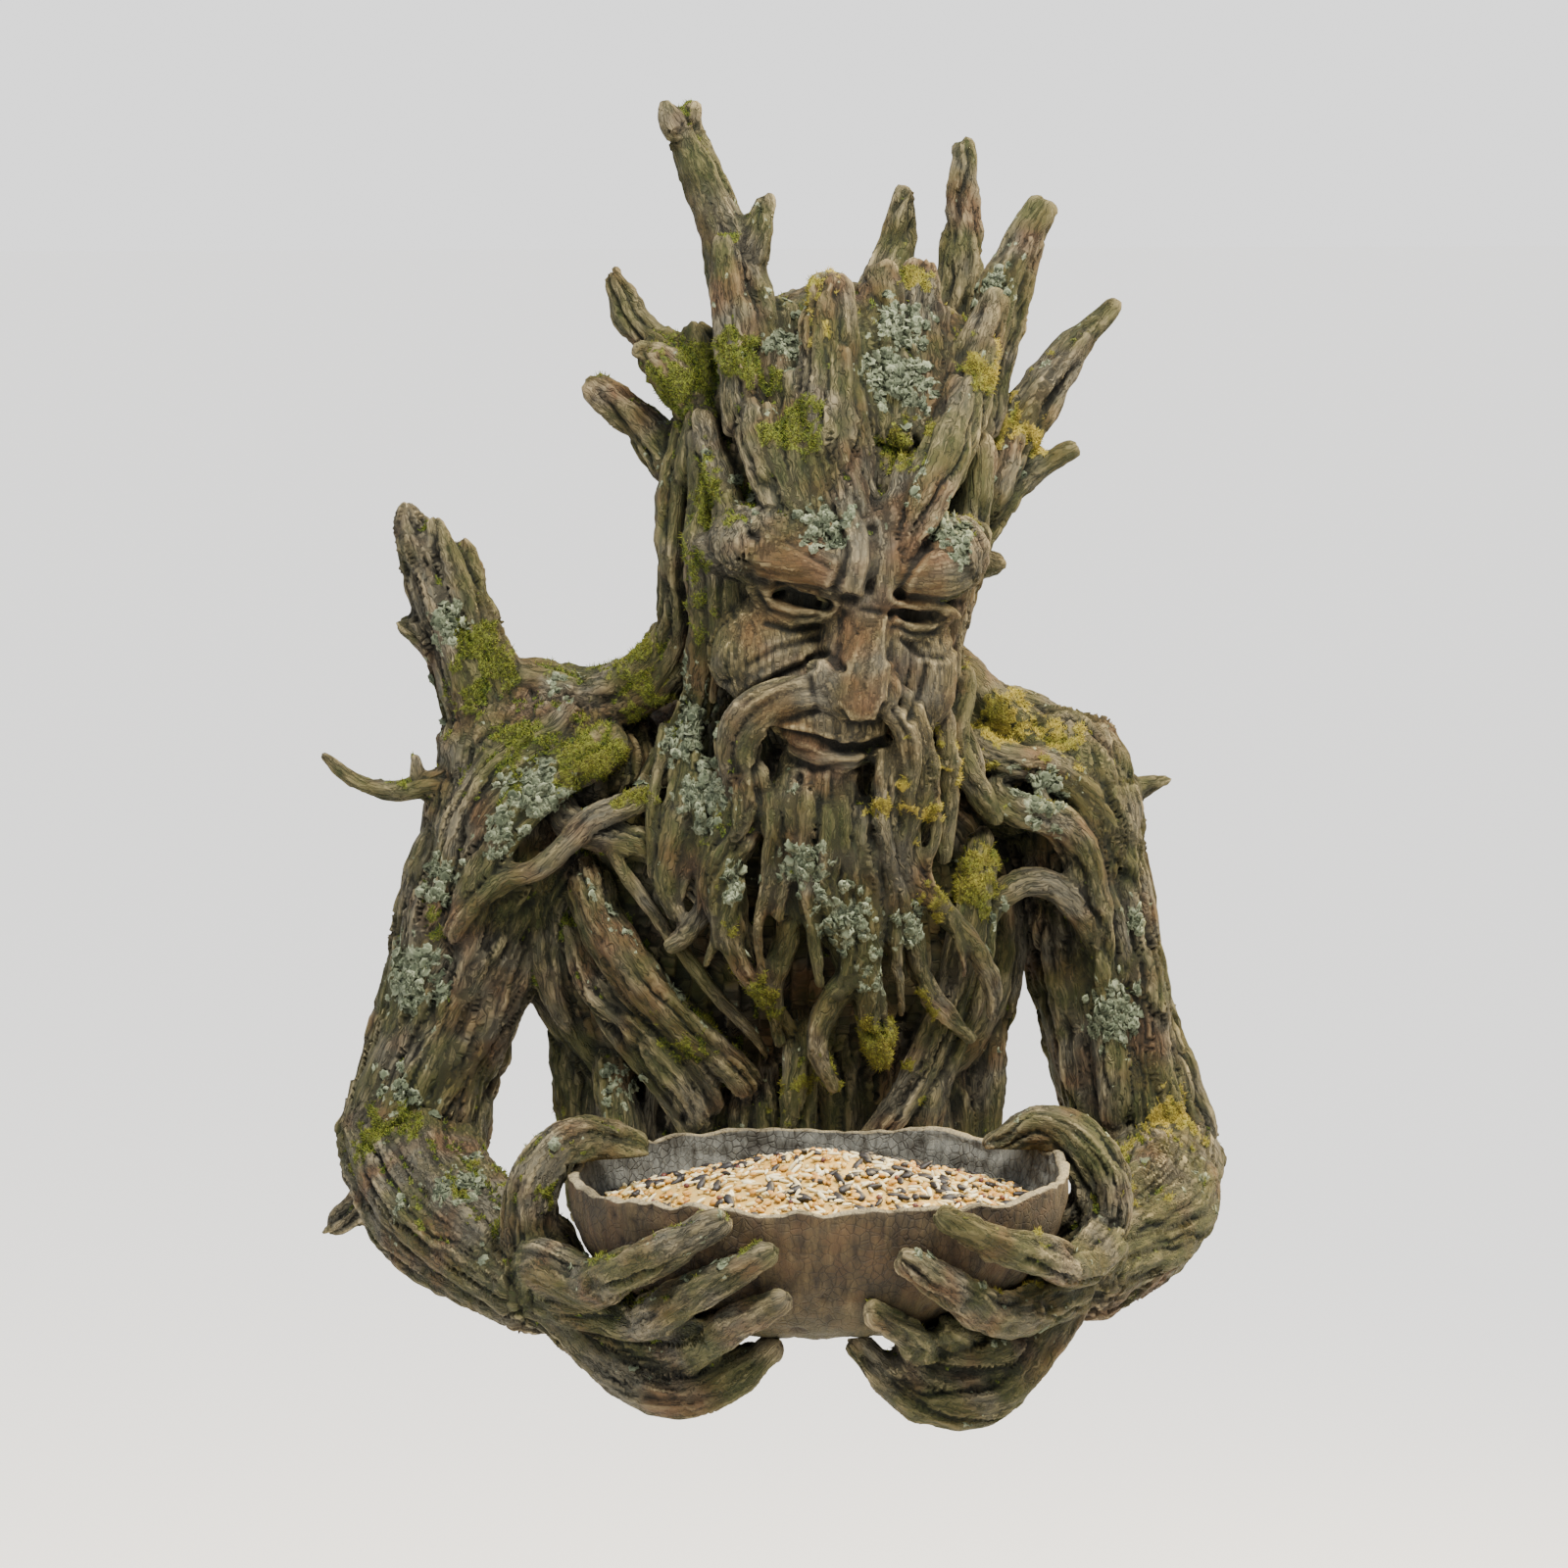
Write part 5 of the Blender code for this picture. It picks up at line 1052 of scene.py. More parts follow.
def turnedArrays(profile, sides):
    # rings round the dish's upright axis, from the first row to the last
    turns = np.arange(sides) * math.tau / sides
    rows = np.array(profile)
    spots = np.stack([
        np.outer(rows[:, 0], np.cos(turns)).ravel(),
        np.outer(rows[:, 0] * dishDeep / dishWide, np.sin(turns)).ravel(),
        np.repeat(rows[:, 1], sides),
    ], 1) + np.array(dishMiddle)
    low, high = np.arange(sides), (len(rows) - 1) * sides + np.arange(sides)
    start = np.array([[0, 0, rows[0, 1]], [0, 0, rows[-1, 1]]]) + np.array(dishMiddle)
    tris = np.vstack([
        np.stack([low, np.full(sides, len(spots)), np.roll(low, -1)], 1),
        np.stack([high, np.roll(high, -1), np.full(sides, len(spots) + 1)], 1),
    ])
    return np.vstack([spots, start]), ringFaces(len(rows), sides), tris


def seatMesh():
    gap = seatDetail["gap"]
    steps = (0, 0.04, 0.13, 0.26, 0.42, 0.6, 0.78, 0.92, 1)
    rows = [(0.001, -gap), (dishWide * dishShape["foot"] * 0.94 + gap, -gap)]
    rows += [(dishWide * dishShare(step) + gap, dishTall * step) for step in steps[1:]]
    rows += [(dishWide + gap, dishTall + 0.004), (0.001, dishTall + 0.004)]
    spots, quads, tris = turnedArrays(rows, seatDetail["sides"])
    mesh = meshFrom("cut", spots, [quads, tris])
    work = bmesh.new()
    work.from_mesh(mesh)
    bmesh.ops.recalc_face_normals(work, faces=work.faces)
    work.to_mesh(mesh)
    work.free()
    return mesh


def slottedMesh(across, lowRadius, highRadius, near, far, steps=16):
    lean = math.acos(highRadius / lowRadius)
    outline = []
    for step in range(steps + 1):
        turn = lean - (math.pi + 2 * lean) * step / steps
        outline.append((lowRadius * math.cos(turn), lowRadius * math.sin(turn)))
    for step in range(1, steps):
        turn = math.pi * (1 - step / steps)
        outline.append((highRadius * math.cos(turn), highRadius * math.sin(turn) + keyholeDetail["rise"]))
    work = bmesh.new()
    face = work.faces.new([work.verts.new((across + aside, near, up)) for aside, up in outline])
    grown = bmesh.ops.extrude_face_region(work, geom=[face])["geom"]
    bmesh.ops.translate(work, verts=[item for item in grown if isinstance(item, bmesh.types.BMVert)],
                        vec=(0, far - near, 0))
    bmesh.ops.recalc_face_normals(work, faces=work.faces)
    mesh = bpy.data.meshes.new("cut")
    work.to_mesh(mesh)
    work.free()
    return mesh


def keyholeMeshes():
    made = []
    d = keyholeDetail
    for side in (-1, 1):
        across = side * d["spacing"] / 2
        made.append(slottedMesh(across, d["head"], d["slot"], 0.004, -d["depth"]))
        made.append(slottedMesh(across, d["pocket"], d["pocket"], -d["lip"], 0.0005 - d["depth"]))
    return made


def cutPiece(name, shaped, cutters, most, keepFace=False):
    # the relief thinned to the triangles a piece may have, then cut; what colours it is looked up again
    item = objectFrom(name, meshFrom(name, shaped["spots"], shaped["faces"]))
    count = len(shaped["faces"]) * 2
    if count > most:
        thin = item.modifiers.new("thin", "DECIMATE")
        thin.ratio = most / count
        if keepFace:
            group = item.vertex_groups.new(name="face")
            levels = np.round(np.clip(shaped["form"][:, 1] * 0.85 + 0.15, 0, 1) * 8).astype(int)
            for level in range(1, 9):
                group.add(np.flatnonzero(levels == level).tolist(), level / 8, "REPLACE")
            thin.vertex_group = "face"
            thin.invert_vertex_group = True
            thin.vertex_group_factor = 0.5
    tools = []
    for mesh in cutters:
        tool = objectFrom("cut", mesh)
        tools.append(tool)
        cut = item.modifiers.new("cut", "BOOLEAN")
        cut.operation = "DIFFERENCE"
        cut.solver = "MANIFOLD"
        cut.object = tool
    mesh = settled(item)
    for tool in tools + [item]:
        bpy.data.objects.remove(tool, do_unlink=True)
    spots = spotsOf(mesh)
    near = nearestIn(shaped["spots"], spots)
    grain, growth, form = shaped["grain"][near], shaped["growth"][near], shaped["form"][near]
    # the sawn back is flat and bare, with its grain upright
    sawn = spots[:, 1] > -0.0004
    grain[sawn] = spots[sawn][:, [2, 0, 1]] * 1000
    growth[sawn] = 0
    form[sawn] = (0.5, 0, 0)
    addAttribute(mesh, "grain", grain)
    addAttribute(mesh, "growth", growth)
    addAttribute(mesh, "form", form)
    corners = np.empty(len(mesh.loops), np.int32)
    mesh.loops.foreach_get("vertex_index", corners)
    starts = np.empty(len(mesh.polygons), np.int32)
    mesh.polygons.foreach_get("loop_start", starts)
    mesh.polygons.foreach_set("use_smooth", ~np.logical_and.reduceat(sawn[corners], starts))
    mesh.name = name
    made = objectFrom(name, mesh)
    report("%s, %d triangles" % (name, len(trianglesOf(mesh))))
    return made


faceMiddle = np.array(placed(7, 75, 33))
headRaw, bodyRaw, leftRaw, rightRaw = headParts(), bodyParts(), handParts(-1), handParts(1)
allRaw = np.vstack([part["spots"] for part in headRaw + bodyRaw + leftRaw + rightRaw])
mossCentres = patchCentres(allRaw, mossPatches)
lichenCentres = patchCentres(allRaw, lichenPatches)
report("strands drawn, %d points" % len(allRaw))

farOff = 1.0
wallSide = boxMesh((-farOff, 0, -farOff), (farOff, farOff, farOff))
headShape = weathered(united("head", headRaw), 1)
report("head relief, %d faces" % len(headShape["faces"]))
carvedHead = cutPiece("carved_head", headShape, [wallSide.copy()], woodDetail["piece"], True)
bodyShape = weathered(united("body", bodyRaw), 1)
report("body relief, %d faces" % len(bodyShape["faces"]))
backCutters = [wallSide.copy(), seatMesh()] + keyholeMeshes()
carvedBody = cutPiece("carved_body", bodyShape, backCutters, woodDetail["piece"])
leftShape = weathered(united("left", leftRaw), reliefDetail["handShare"])
rightShape = weathered(united("right", rightRaw), reliefDetail["handShare"])
report("hands relief, %d and %d faces" % (len(leftShape["faces"]), len(rightShape["faces"])))
leftHand = cutPiece("carved_left_hand", leftShape, [wallSide.copy(), seatMesh()], woodDetail["hand"])
rightHand = cutPiece("carved_right_hand", rightShape, [wallSide.copy(), seatMesh()], woodDetail["hand"])
woodPieces = [carvedHead, carvedBody, leftHand, rightHand]


# materials

def colour(code):
    # an sRGB hex colour as linear values
    parts = [int(code[place:place + 2], 16) / 255 for place in (1, 3, 5)]
    linear = [part / 12.92 if part <= 0.04045 else ((part + 0.055) / 1.055) ** 2.4 for part in parts]
    return (*linear, 1)


def node(tree, kind, settings=None, **inputs):
    made = tree.nodes.new("ShaderNode" + kind)
    for key, value in (settings or {}).items():
        setattr(made, key, value)
    for key, value in inputs.items():
        socket = made.inputs[key.replace("_", " ")]
        if isinstance(value, bpy.types.NodeSocket):
            tree.links.new(value, socket)
        else:
            socket.default_value = value
    return made


def blended(tree, share, first, second, kind="MIX"):
    made = tree.nodes.new("ShaderNodeMix")
    made.data_type = "RGBA"
    made.blend_type = kind
    for index, value in ((0, share), (6, first), (7, second)):
        if isinstance(value, bpy.types.NodeSocket):
            tree.links.new(value, made.inputs[index])
        else:
            made.inputs[index].default_value = value
    return made.outputs[2]


def ramp(tree, share, stops):
    # a colour, or a grey level, that changes along stops of (place, value)
    made = node(tree, "ValToRGB", Fac=share)
    band = made.color_ramp
    while len(band.elements) < len(stops):
        band.elements.new(0.5)
    for element, (place, value) in zip(band.elements, stops):
        element.position = place
        element.color = colour(value) if isinstance(value, str) else (value, value, value, 1)
    return made.outputs["Color"]


def maths(tree, kind, first, second=0.0):
    made = tree.nodes.new("ShaderNodeMath")
    made.operation = kind
    for index, value in enumerate((first, second)):
        if isinstance(value, bpy.types.NodeSocket):
            tree.links.new(value, made.inputs[index])
        else:
            made.inputs[index].default_value = value
    return made.outputs[0]


def product(tree, first, second):
    return maths(tree, "MULTIPLY", first, second)


def rest(tree, share):
    # one less a share
    return maths(tree, "SUBTRACT", 1.0, share)


def offMiddle(tree, value, times):
    return product(tree, maths(tree, "SUBTRACT", value, 0.5), times)


def scaled(tree, vector, factors):
    made = node(tree, "VectorMath", {"operation": "MULTIPLY"}, Vector=vector)
    made.inputs[1].default_value = factors
    return made.outputs[0]


def inMm(tree):
    # the place on the piece in mm
    return scaled(tree, node(tree, "TexCoord").outputs["Object"], (1000, 1000, 1000))


def attribute(tree, name):
    return node(tree, "Attribute", {"attribute_name": name}).outputs["Vector"]


def parted(tree, vector):
    return node(tree, "SeparateXYZ", Vector=vector).outputs


def texture(tree, vector, perMm, detail=3, roughness=0.6, swirl=0.0):
    made = node(tree, "TexNoise", Vector=vector, Scale=perMm, Detail=detail, Roughness=roughness,
                Distortion=swirl)
    return made.outputs["Fac"]


def begun(name, roughness, specular):
    made = bpy.data.materials.new(name)
    made.use_nodes = True
    tree = made.node_tree
    shader = tree.nodes["Principled BSDF"]
    shader.inputs["Roughness"].default_value = roughness
    shader.inputs["Specular IOR Level"].default_value = specular
    return made, tree, shader


# pale is the palest fibre shade and also the painted highlight on ridges; hollow is the dark of the cracks
# and also the painted shade in hollows, with a greenish black for that painted shade where the film grows;
# lichenDeep is the darkest lichen and also its painted shade in hollows; the moss's yellow is partly its own
# colour and partly painted sunlight
woodLook = {
    "dark": "#110c06", "mid": "#31281a", "light": "#5b4f35", "pale": "#9c8d6a",
    "grey": "#504f46", "brown": "#4d331b", "hollow": "#080603", "paintedShadeGreen": "#0f1408", "film": "#2b3312",
    "mossDark": "#121806", "moss": "#2b370c", "mossLight": "#515a1a", "goldAndSunlight": "#857430",
    "lichen": "#545a46", "lichenPale": "#757a62", "lichenDeep": "#2d3427",
}


def woodMaterial(look):
    # weathered softwood, silvered by rain: grey-brown fibres with dark checks between them; ridges of the
    # relief get a painted highlight and every hollow painted shade, nearly black
    made, tree, shader = begun("weathered wood", 0.86, 0.22)
    grain = attribute(tree, "grain")
    moss, lichen, goldAndSunlight = parted(tree, attribute(tree, "growth"))
    hollow, onFace = parted(tree, attribute(tree, "form"))[:2]
    place = inMm(tree)
    long = scaled(tree, grain, (0.14, 1, 1))
    fibre = texture(tree, long, 0.34, 6, 0.7, 0.5)
    fine = texture(tree, long, 1.5, 4, 0.65, 0.4)
    # lengthways cracks: thin dark lines where a slow noise passes its middle
    slow = scaled(tree, grain, (0.16, 1, 1))
    cracks = 0.0
    for perMm, width in ((0.085, 0.022), (0.2, 0.03)):
        wander = texture(tree, slow, perMm, 3, 0.6, 0.6)
        away = maths(tree, "ABSOLUTE", maths(tree, "SUBTRACT", wander, 0.5))
        cracks = maths(tree, "MAXIMUM", cracks, ramp(tree, away, [(0.0, 1.0), (width, 0.0)]))
    cracks = product(tree, cracks, rest(tree, product(tree, onFace, 0.6)))
    grit = texture(tree, place, 0.9, 4, 0.7)
    patch = texture(tree, place, 0.022, 3, 0.55)
    shades = [look[key] for key in ("dark", "mid", "light", "pale")]
    wood = ramp(tree, fibre, list(zip((0.34, 0.46, 0.58, 0.72), shades)))
    silver = ramp(tree, patch, [(0.42, 0.0), (0.62, 0.75)])
    wood = blended(tree, silver, wood, blended(tree, 0.75, wood, colour(look["grey"])))
    warm = ramp(tree, texture(tree, place, 0.03, 2, 0.5), [(0.48, 0.0), (0.64, 0.7)])
    wood = blended(tree, warm, wood, colour(look["brown"]))
    lines = ramp(tree, fine, [(0.36, 0.0), (0.5, 1.0)])
    wood = blended(tree, product(tree, rest(tree, lines), 0.55), wood, colour(look["dark"]))
    wood = blended(tree, product(tree, cracks, 0.75), wood, colour(look["hollow"]))
    # painted highlight: the ridges of the relief, where the form attribute shows no hollow, are turned pale
    ridge = ramp(tree, hollow, [(0.1, 0.65), (0.36, 0.0)])
    ridge = product(tree, ridge, ramp(tree, fibre, [(0.4, 0.35), (0.6, 1.0)]))
    wood = blended(tree, ridge, wood, colour(look["pale"]))
    # painted shade: hollows are darkened nearly to black, a greenish black where the film grows
    sunk = ramp(tree, hollow, [(0.44, 0.0), (0.70, 1.0)])
    film = product(tree, ramp(tree, patch, [(0.42, 1.0), (0.6, 0.15)]),
                 rest(tree, product(tree, onFace, 0.7)))
    wood = blended(tree, product(tree, film, 0.6), wood, colour(look["film"]))
    deep = blended(tree, film, colour(look["hollow"]), colour(look["paintedShadeGreen"]))
    wood = blended(tree, product(tree, sunk, 0.9), wood, deep)
    tuft = texture(tree, place, 0.5, 3, 0.7)
    green = ramp(tree, tuft, [(0.34, look["mossDark"]), (0.5, look["moss"]), (0.66, look["mossLight"])])
    # the moss's own yellow and painted sunlight, from the third growth channel
    green = blended(tree, product(tree, goldAndSunlight, 0.8), green, colour(look["goldAndSunlight"]))
    flake = texture(tree, place, 0.42, 4, 0.65)
    crust = ramp(tree, flake, [(0.36, look["lichenDeep"]), (0.5, look["lichen"]), (0.64, look["lichenPale"])])
    # painted shade: the lichen crust is darkened in hollows
    crust = blended(tree, product(tree, sunk, 0.6), crust, colour(look["lichenDeep"]))
    flaky = ramp(tree, maths(tree, "ADD", lichen, offMiddle(tree, flake, 1.4)), [(0.42, 0.0), (0.56, 1.0)])
    surface = blended(tree, flaky, wood, crust)
    tufted = ramp(tree, maths(tree, "ADD", moss, offMiddle(tree, tuft, 1.2)), [(0.35, 0.0), (0.6, 1.0)])
    surface = blended(tree, tufted, surface, green)
    tree.links.new(surface, shader.inputs["Base Color"])
    height = maths(tree, "ADD", product(tree, fibre, 0.9), product(tree, fine, 0.5))
    height = maths(tree, "ADD", height, product(tree, grit, 0.35))
    height = maths(tree, "SUBTRACT", height, product(tree, cracks, 1.2))
    bump = node(tree, "Bump", Height=height, Strength=0.8, Distance=0.0016)
    tree.links.new(bump.outputs["Normal"], shader.inputs["Normal"])
    return made


def tintMaterial(name, roughness, stops, second=None, specular=0.2):
    # a finish whose shade comes with the mesh: first the shade, then how far it turns to another colour
    made, tree, shader = begun(name, roughness, specular)
    shade, turned = parted(tree, attribute(tree, "tint"))[:2]
    surface = ramp(tree, shade, stops)
    if second:
        surface = blended(tree, turned, surface, colour(second))
    tree.links.new(surface, shader.inputs["Base Color"])
    return made


weatheredWood = woodMaterial(woodLook)
for piece in woodPieces:
    piece.data.materials.clear()
    piece.data.materials.append(weatheredWood)
    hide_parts("tree_figure")
    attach(piece, "root")
report("wood finished")


# moss leaves and lichen flakes, standing on the wood

growthDetail = {
    "lowMoss": 0.25, "lowLichen": 0.35,         # growth weaker than this bears no leaves or flakes
    "leaves": 34000, "quickLeaves": 9000, "leafLength": (0.0014, 0.0036), "leafWidth": (0.00028, 0.0005),
    "flakes": 2500, "quickFlakes": 1000, "flakeRadius": (0.0012, 0.0036),
}
growthDraw = np.random.RandomState(5)


def scattered(items, channel, low, count):
    # random places on several meshes, by how strong a growth is there
    spotList, triList, growthList, start = [], [], [], 0
    for item in items:
        mesh = item.data
        spots = spotsOf(mesh)
        growth = np.empty(len(spots) * 3, np.float32)
        mesh.attributes["growth"].data.foreach_get("vector", growth)
        spotList.append(spots)
        triList.append(trianglesOf(mesh) + start)
        growthList.append(growth.reshape(-1, 3))
        start += len(spots)
    spots, tris, growth = np.vstack(spotList), np.vstack(triList), np.vstack(growthList)
    a, b, c = spots[tris[:, 0]], spots[tris[:, 1]], spots[tris[:, 2]]
    face = np.cross(b - a, c - a)
    area = np.linalg.norm(face, axis=1)
    normals = face / np.maximum(area, 1e-14)[:, None]
    strong = np.clip(growth[tris, channel].mean(axis=1) - low, 0, None)
    seen = 0.35 + 0.65 * rise(-0.2, 0.4, normals @ np.array((0.1, -0.95, 0.35)))
    weight = area * strong * seen * (a[:, 1] < -0.002)
    chosen = np.searchsorted(np.cumsum(weight) / weight.sum(), growthDraw.rand(count))
    chosen = np.minimum(chosen, len(tris) - 1)
    u, v = growthDraw.rand(2, count)
    over = u + v > 1
    u[over], v[over] = 1 - u[over], 1 - v[over]
    places = a[chosen] + (b - a)[chosen] * u[:, None] + (c - a)[chosen] * v[:, None]
    return places, normals[chosen], growth[tris[chosen]].mean(axis=1)


def crossAxes(ways):
    # two directions square to each given one
    helper = np.where(np.abs(ways[:, 2:3]) > 0.8, [[1.0, 0, 0]], [[0, 0, 1.0]])
    first = np.cross(ways, helper)
    first /= np.linalg.norm(first, axis=1)[:, None]
    return first, np.cross(ways, first)


def mossLeaves(items):
    count = growthDetail["leaves"]
    places, normals, growth = scattered(items, 0, growthDetail["lowMoss"], count)
    lean = normals * 0.8 + growthDraw.normal(size=(count, 3)) * 0.38 + np.array((0, -0.05, 0.35))
    lean /= np.linalg.norm(lean, axis=1)[:, None]
    first, second = crossAxes(lean)
    low, high = growthDetail["leafLength"]
    length = (low + (high - low) * growthDraw.rand(count) ** 1.5)[:, None]
    low, high = growthDetail["leafWidth"]
    width = (low + (high - low) * growthDraw.rand(count))[:, None]
    start = places - normals * 0.0006
    corners = [start + (first * math.cos(t) + second * math.sin(t)) * width for t in (0, 2.094, 4.189)]
    tips = start + lean * length + normals * 0.0004
    spots = np.stack(corners + [tips], 1).reshape(-1, 3)
    base = np.arange(count)[:, None] * 4
    sides = (0, 1, 3), (1, 2, 3), (2, 0, 3), (0, 2, 1)
    faces = np.concatenate([base + np.array(corner) for corner in sides])
    mesh = meshFrom("moss", spots, faces)
    shade = np.repeat(growthDraw.rand(count) * 0.75, 4)
    shade[3::4] += 0.25
    # the yellow tint carries the moss's own yellow and painted sunlight
    goldAndSunlight = np.repeat(np.clip(growth[:, 2] * 0.9 + growthDraw.rand(count) * 0.2 - 0.1, 0, 1), 4)
    addAttribute(mesh, "tint", np.stack([shade, goldAndSunlight, shade], 1))
    return objectFrom("moss_leaves", mesh)


def lichenFlakes(items):
    count = growthDetail["flakes"]
    places, normals = scattered(items, 1, growthDetail["lowLichen"], count)[:2]
    normals = normals + growthDraw.normal(size=(count, 3)) * 0.22
    normals /= np.linalg.norm(normals, axis=1)[:, None]
    first, second = crossAxes(normals)
    low, high = growthDetail["flakeRadius"]
    size = (low + (high - low) * growthDraw.rand(count) ** 1.6)[:, None]
    rows = [places + normals * size * 0.25]
    for ring, (sides, out, up) in enumerate(((7, 0.55, 0.1), (14, 1.0, 0.22))):
        turn = growthDraw.rand(count, 1) * math.tau
        for side in range(sides):
            angle = turn + side * math.tau / sides
            lobe = 1 + (0.3 if ring and side % 2 else -0.12) * growthDraw.rand(count, 1)
            lift = size * up * (0.4 + 0.9 * growthDraw.rand(count, 1))
            outward = first * np.cos(angle) + second * np.sin(angle)
            rows.append(places + outward * size * out * lobe + normals * lift)
    rows.append(places - normals * size * 0.4)
    spots = np.stack(rows, 1).reshape(-1, 3)
    faces = [(0, 1 + i, 1 + (i + 1) % 7) for i in range(7)]
    for i in range(7):
        a, b = 1 + i, 1 + (i + 1) % 7
        c, d, e = 8 + 2 * i, 8 + (2 * i + 1) % 14, 8 + (2 * i + 2) % 14
        faces += [(a, c, d), (a, d, b), (b, d, e)]
    faces += [(8 + (i + 1) % 14, 8 + i, 22) for i in range(14)]
    base = np.arange(count)[:, None] * 23
    mesh = meshFrom("lichen", spots, np.concatenate([base + np.array(face) for face in faces]))
    shade = np.repeat(growthDraw.rand(count)[:, None] * 0.6, 23, 1)
    shade[:, 8:22] += 0.3
    shade[:, 0] -= 0.1
    addAttribute(mesh, "tint", np.stack([shade.ravel(), shade.ravel() * 0, shade.ravel() * 0], 1))
    return objectFrom("lichen_flakes", mesh)


mossPiece = mossLeaves(woodPieces)
# cushion moss: tiny leaves, so a soft matt green that is lighter at the tips, and yellow partly by its own
# colour and partly as painted sunlight on the lit side
mossPiece.data.materials.append(tintMaterial("moss", 0.95, [
    (0.0, "#0f1405"), (0.45, "#2c380d"), (0.8, "#4f591b"), (1.0, "#737730")], "#8e7d36", 0.1))
lichenPiece = lichenFlakes(woodPieces)
# leafy lichen: dry, matt grey-green lobes with paler rims
lichenPiece.data.materials.append(tintMaterial("lichen", 0.9, [
    (0.0, "#2a3024"), (0.4, "#4c5341"), (0.8, "#6f7560"), (1.0, "#909379")], None, 0.15))
for piece in (mossPiece, lichenPiece):
    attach(piece, "root")
report("moss and lichen grown")


# the dish: hewn from one block, weathered grey inside

dishDetail = {"sides": 200, "hewn": 0.0024, "grooves": 0.0003, "chips": 0.0036, "checks": 0.0014}


def dishRows():
    # radius, height and where on the dish: 0 inside, 1 rim, 2 outside
    rows = []
    foot = dishWide * dishShape["foot"]
    for share in (0.02, 0.3, 0.6, 0.8):
        rows.append((foot * 0.8 * share / 0.8, dishShape["floor"], 0))
    for step in np.linspace(0.22, 1, 42):
        thick = dishShape["wall"] * (1 + 0.5 * (1 - step))
        rows.append((dishWide * dishShare(step - 0.1 * (1 - step)) - thick, dishTall * step, 0))
    for turn in (150, 120, 90, 60, 30):
        angle = math.radians(turn)
        rows.append((dishWide - 0.004 + 0.004 * math.cos(angle), dishTall + 0.0026 * math.sin(angle), 1))
    for step in np.linspace(1, 0, 44) ** 1.3:
        rows.append((dishWide * dishShare(step), dishTall * step, 2))
    for share in (0.9, 0.6, 0.3, 0.02):
        rows.append((foot * share, 0, 2))
    return rows


def buildDish():
    rows = dishRows()
    sides = dishDetail["sides"]
    spots, quads, tris = turnedArrays([row[:2] for row in rows], sides)
    kinds = np.concatenate([np.repeat([row[2] for row in rows], sides), [0, 2]])
    turn = np.concatenate([np.tile(np.arange(sides) * math.tau / sides, len(rows)), [0, 0]])
    heights = (spots[:, 2] - dishMiddle.z) / dishTall
    steps = np.concatenate([np.repeat(np.arange(len(rows)), sides), [0, len(rows) - 1]]) * 2.0
    around = np.stack([np.cos(turn), np.sin(turn)], 1)
    work = bmesh.new()
    work.from_mesh(meshFrom("dish", spots, [quads, tris]))
    bmesh.ops.recalc_face_normals(work, faces=work.faces)
    work.normal_update()
    normals = np.array([vert.normal for vert in work.verts])
    work.free()
    facets = noise(np.stack([around[:, 0] * 4.2, around[:, 1] * 4.2, steps / 17 + kinds * 9], 1))
    grooves = noise(np.stack([around[:, 0] * 24, around[:, 1] * 24, steps / 60 + kinds * 5], 1))
    checks = np.abs(noise(np.stack([around[:, 0] * 9, around[:, 1] * 9, steps / 70 + 3 + kinds * 4], 1)))
    where = rise(0.1, 0.5, noise(np.stack([around[:, 0] * 3, around[:, 1] * 3, steps / 40 + 8], 1)) + 0.2)
    check = np.exp(-(checks / 0.05) ** 2) * where
    push = dishDetail["hewn"] * (np.abs(facets) - 0.6) + dishDetail["grooves"] * (grooves - 0.5)
    push -= dishDetail["checks"] * check
    push = np.where(kinds == 2, np.minimum(push, -0.0001), push)
    spots = spots + normals * push[:, None]
    # the rim rises and falls, and is chipped
    lift = np.clip(heights, 0, 1.05) ** dishShape["waveReach"]
    ripple = np.sin(3 * turn + 0.8) / 2 + 0.3 * np.sin(5 * turn + 2) + 0.25 * np.sin(8 * turn)
    chip = noise(np.stack([around[:, 0] * 7, around[:, 1] * 7, np.full(len(turn), 2.0)], 1))
    chip += 0.35 * noise(np.stack([around[:, 0] * 13, around[:, 1] * 13, np.full(len(turn), 6.0)], 1))
    spots[:, 2] += lift * (dishShape["wave"] * ripple + dishDetail["chips"] * chip)
    mesh = meshFrom("feeding_dish", spots, [quads, tris])
    work = bmesh.new()
    work.from_mesh(mesh)
    bmesh.ops.recalc_face_normals(work, faces=work.faces)
    work.to_mesh(mesh)
    work.free()
    grain = np.stack([steps, around[:, 0] * dishWide * 1000, around[:, 1] * dishWide * 1000], 1)
    addAttribute(mesh, "grain", grain)
    inside = np.where(kinds == 0, 1.0, np.where(kinds == 1, 0.6, 0.0))
    addAttribute(mesh, "form", np.stack([inside, check, np.clip(heights, 0, 1)], 1))
    mesh.polygons.foreach_set("use_smooth", np.ones(len(mesh.polygons), bool))
    return objectFrom("hewn_dish", mesh)


# rim is the pale of worn wood along the rim and also its painted highlight
dishLook = {"dark": "#120d07", "mid": "#2a2215", "light": "#3f3420", "pale": "#5d5037",
            "inside": "#4a4b47", "insidePale": "#6b6b63", "stain": "#1f1b13", "green": "#272c13",
            "warm": "#422f1b", "rim": "#867b5e"}


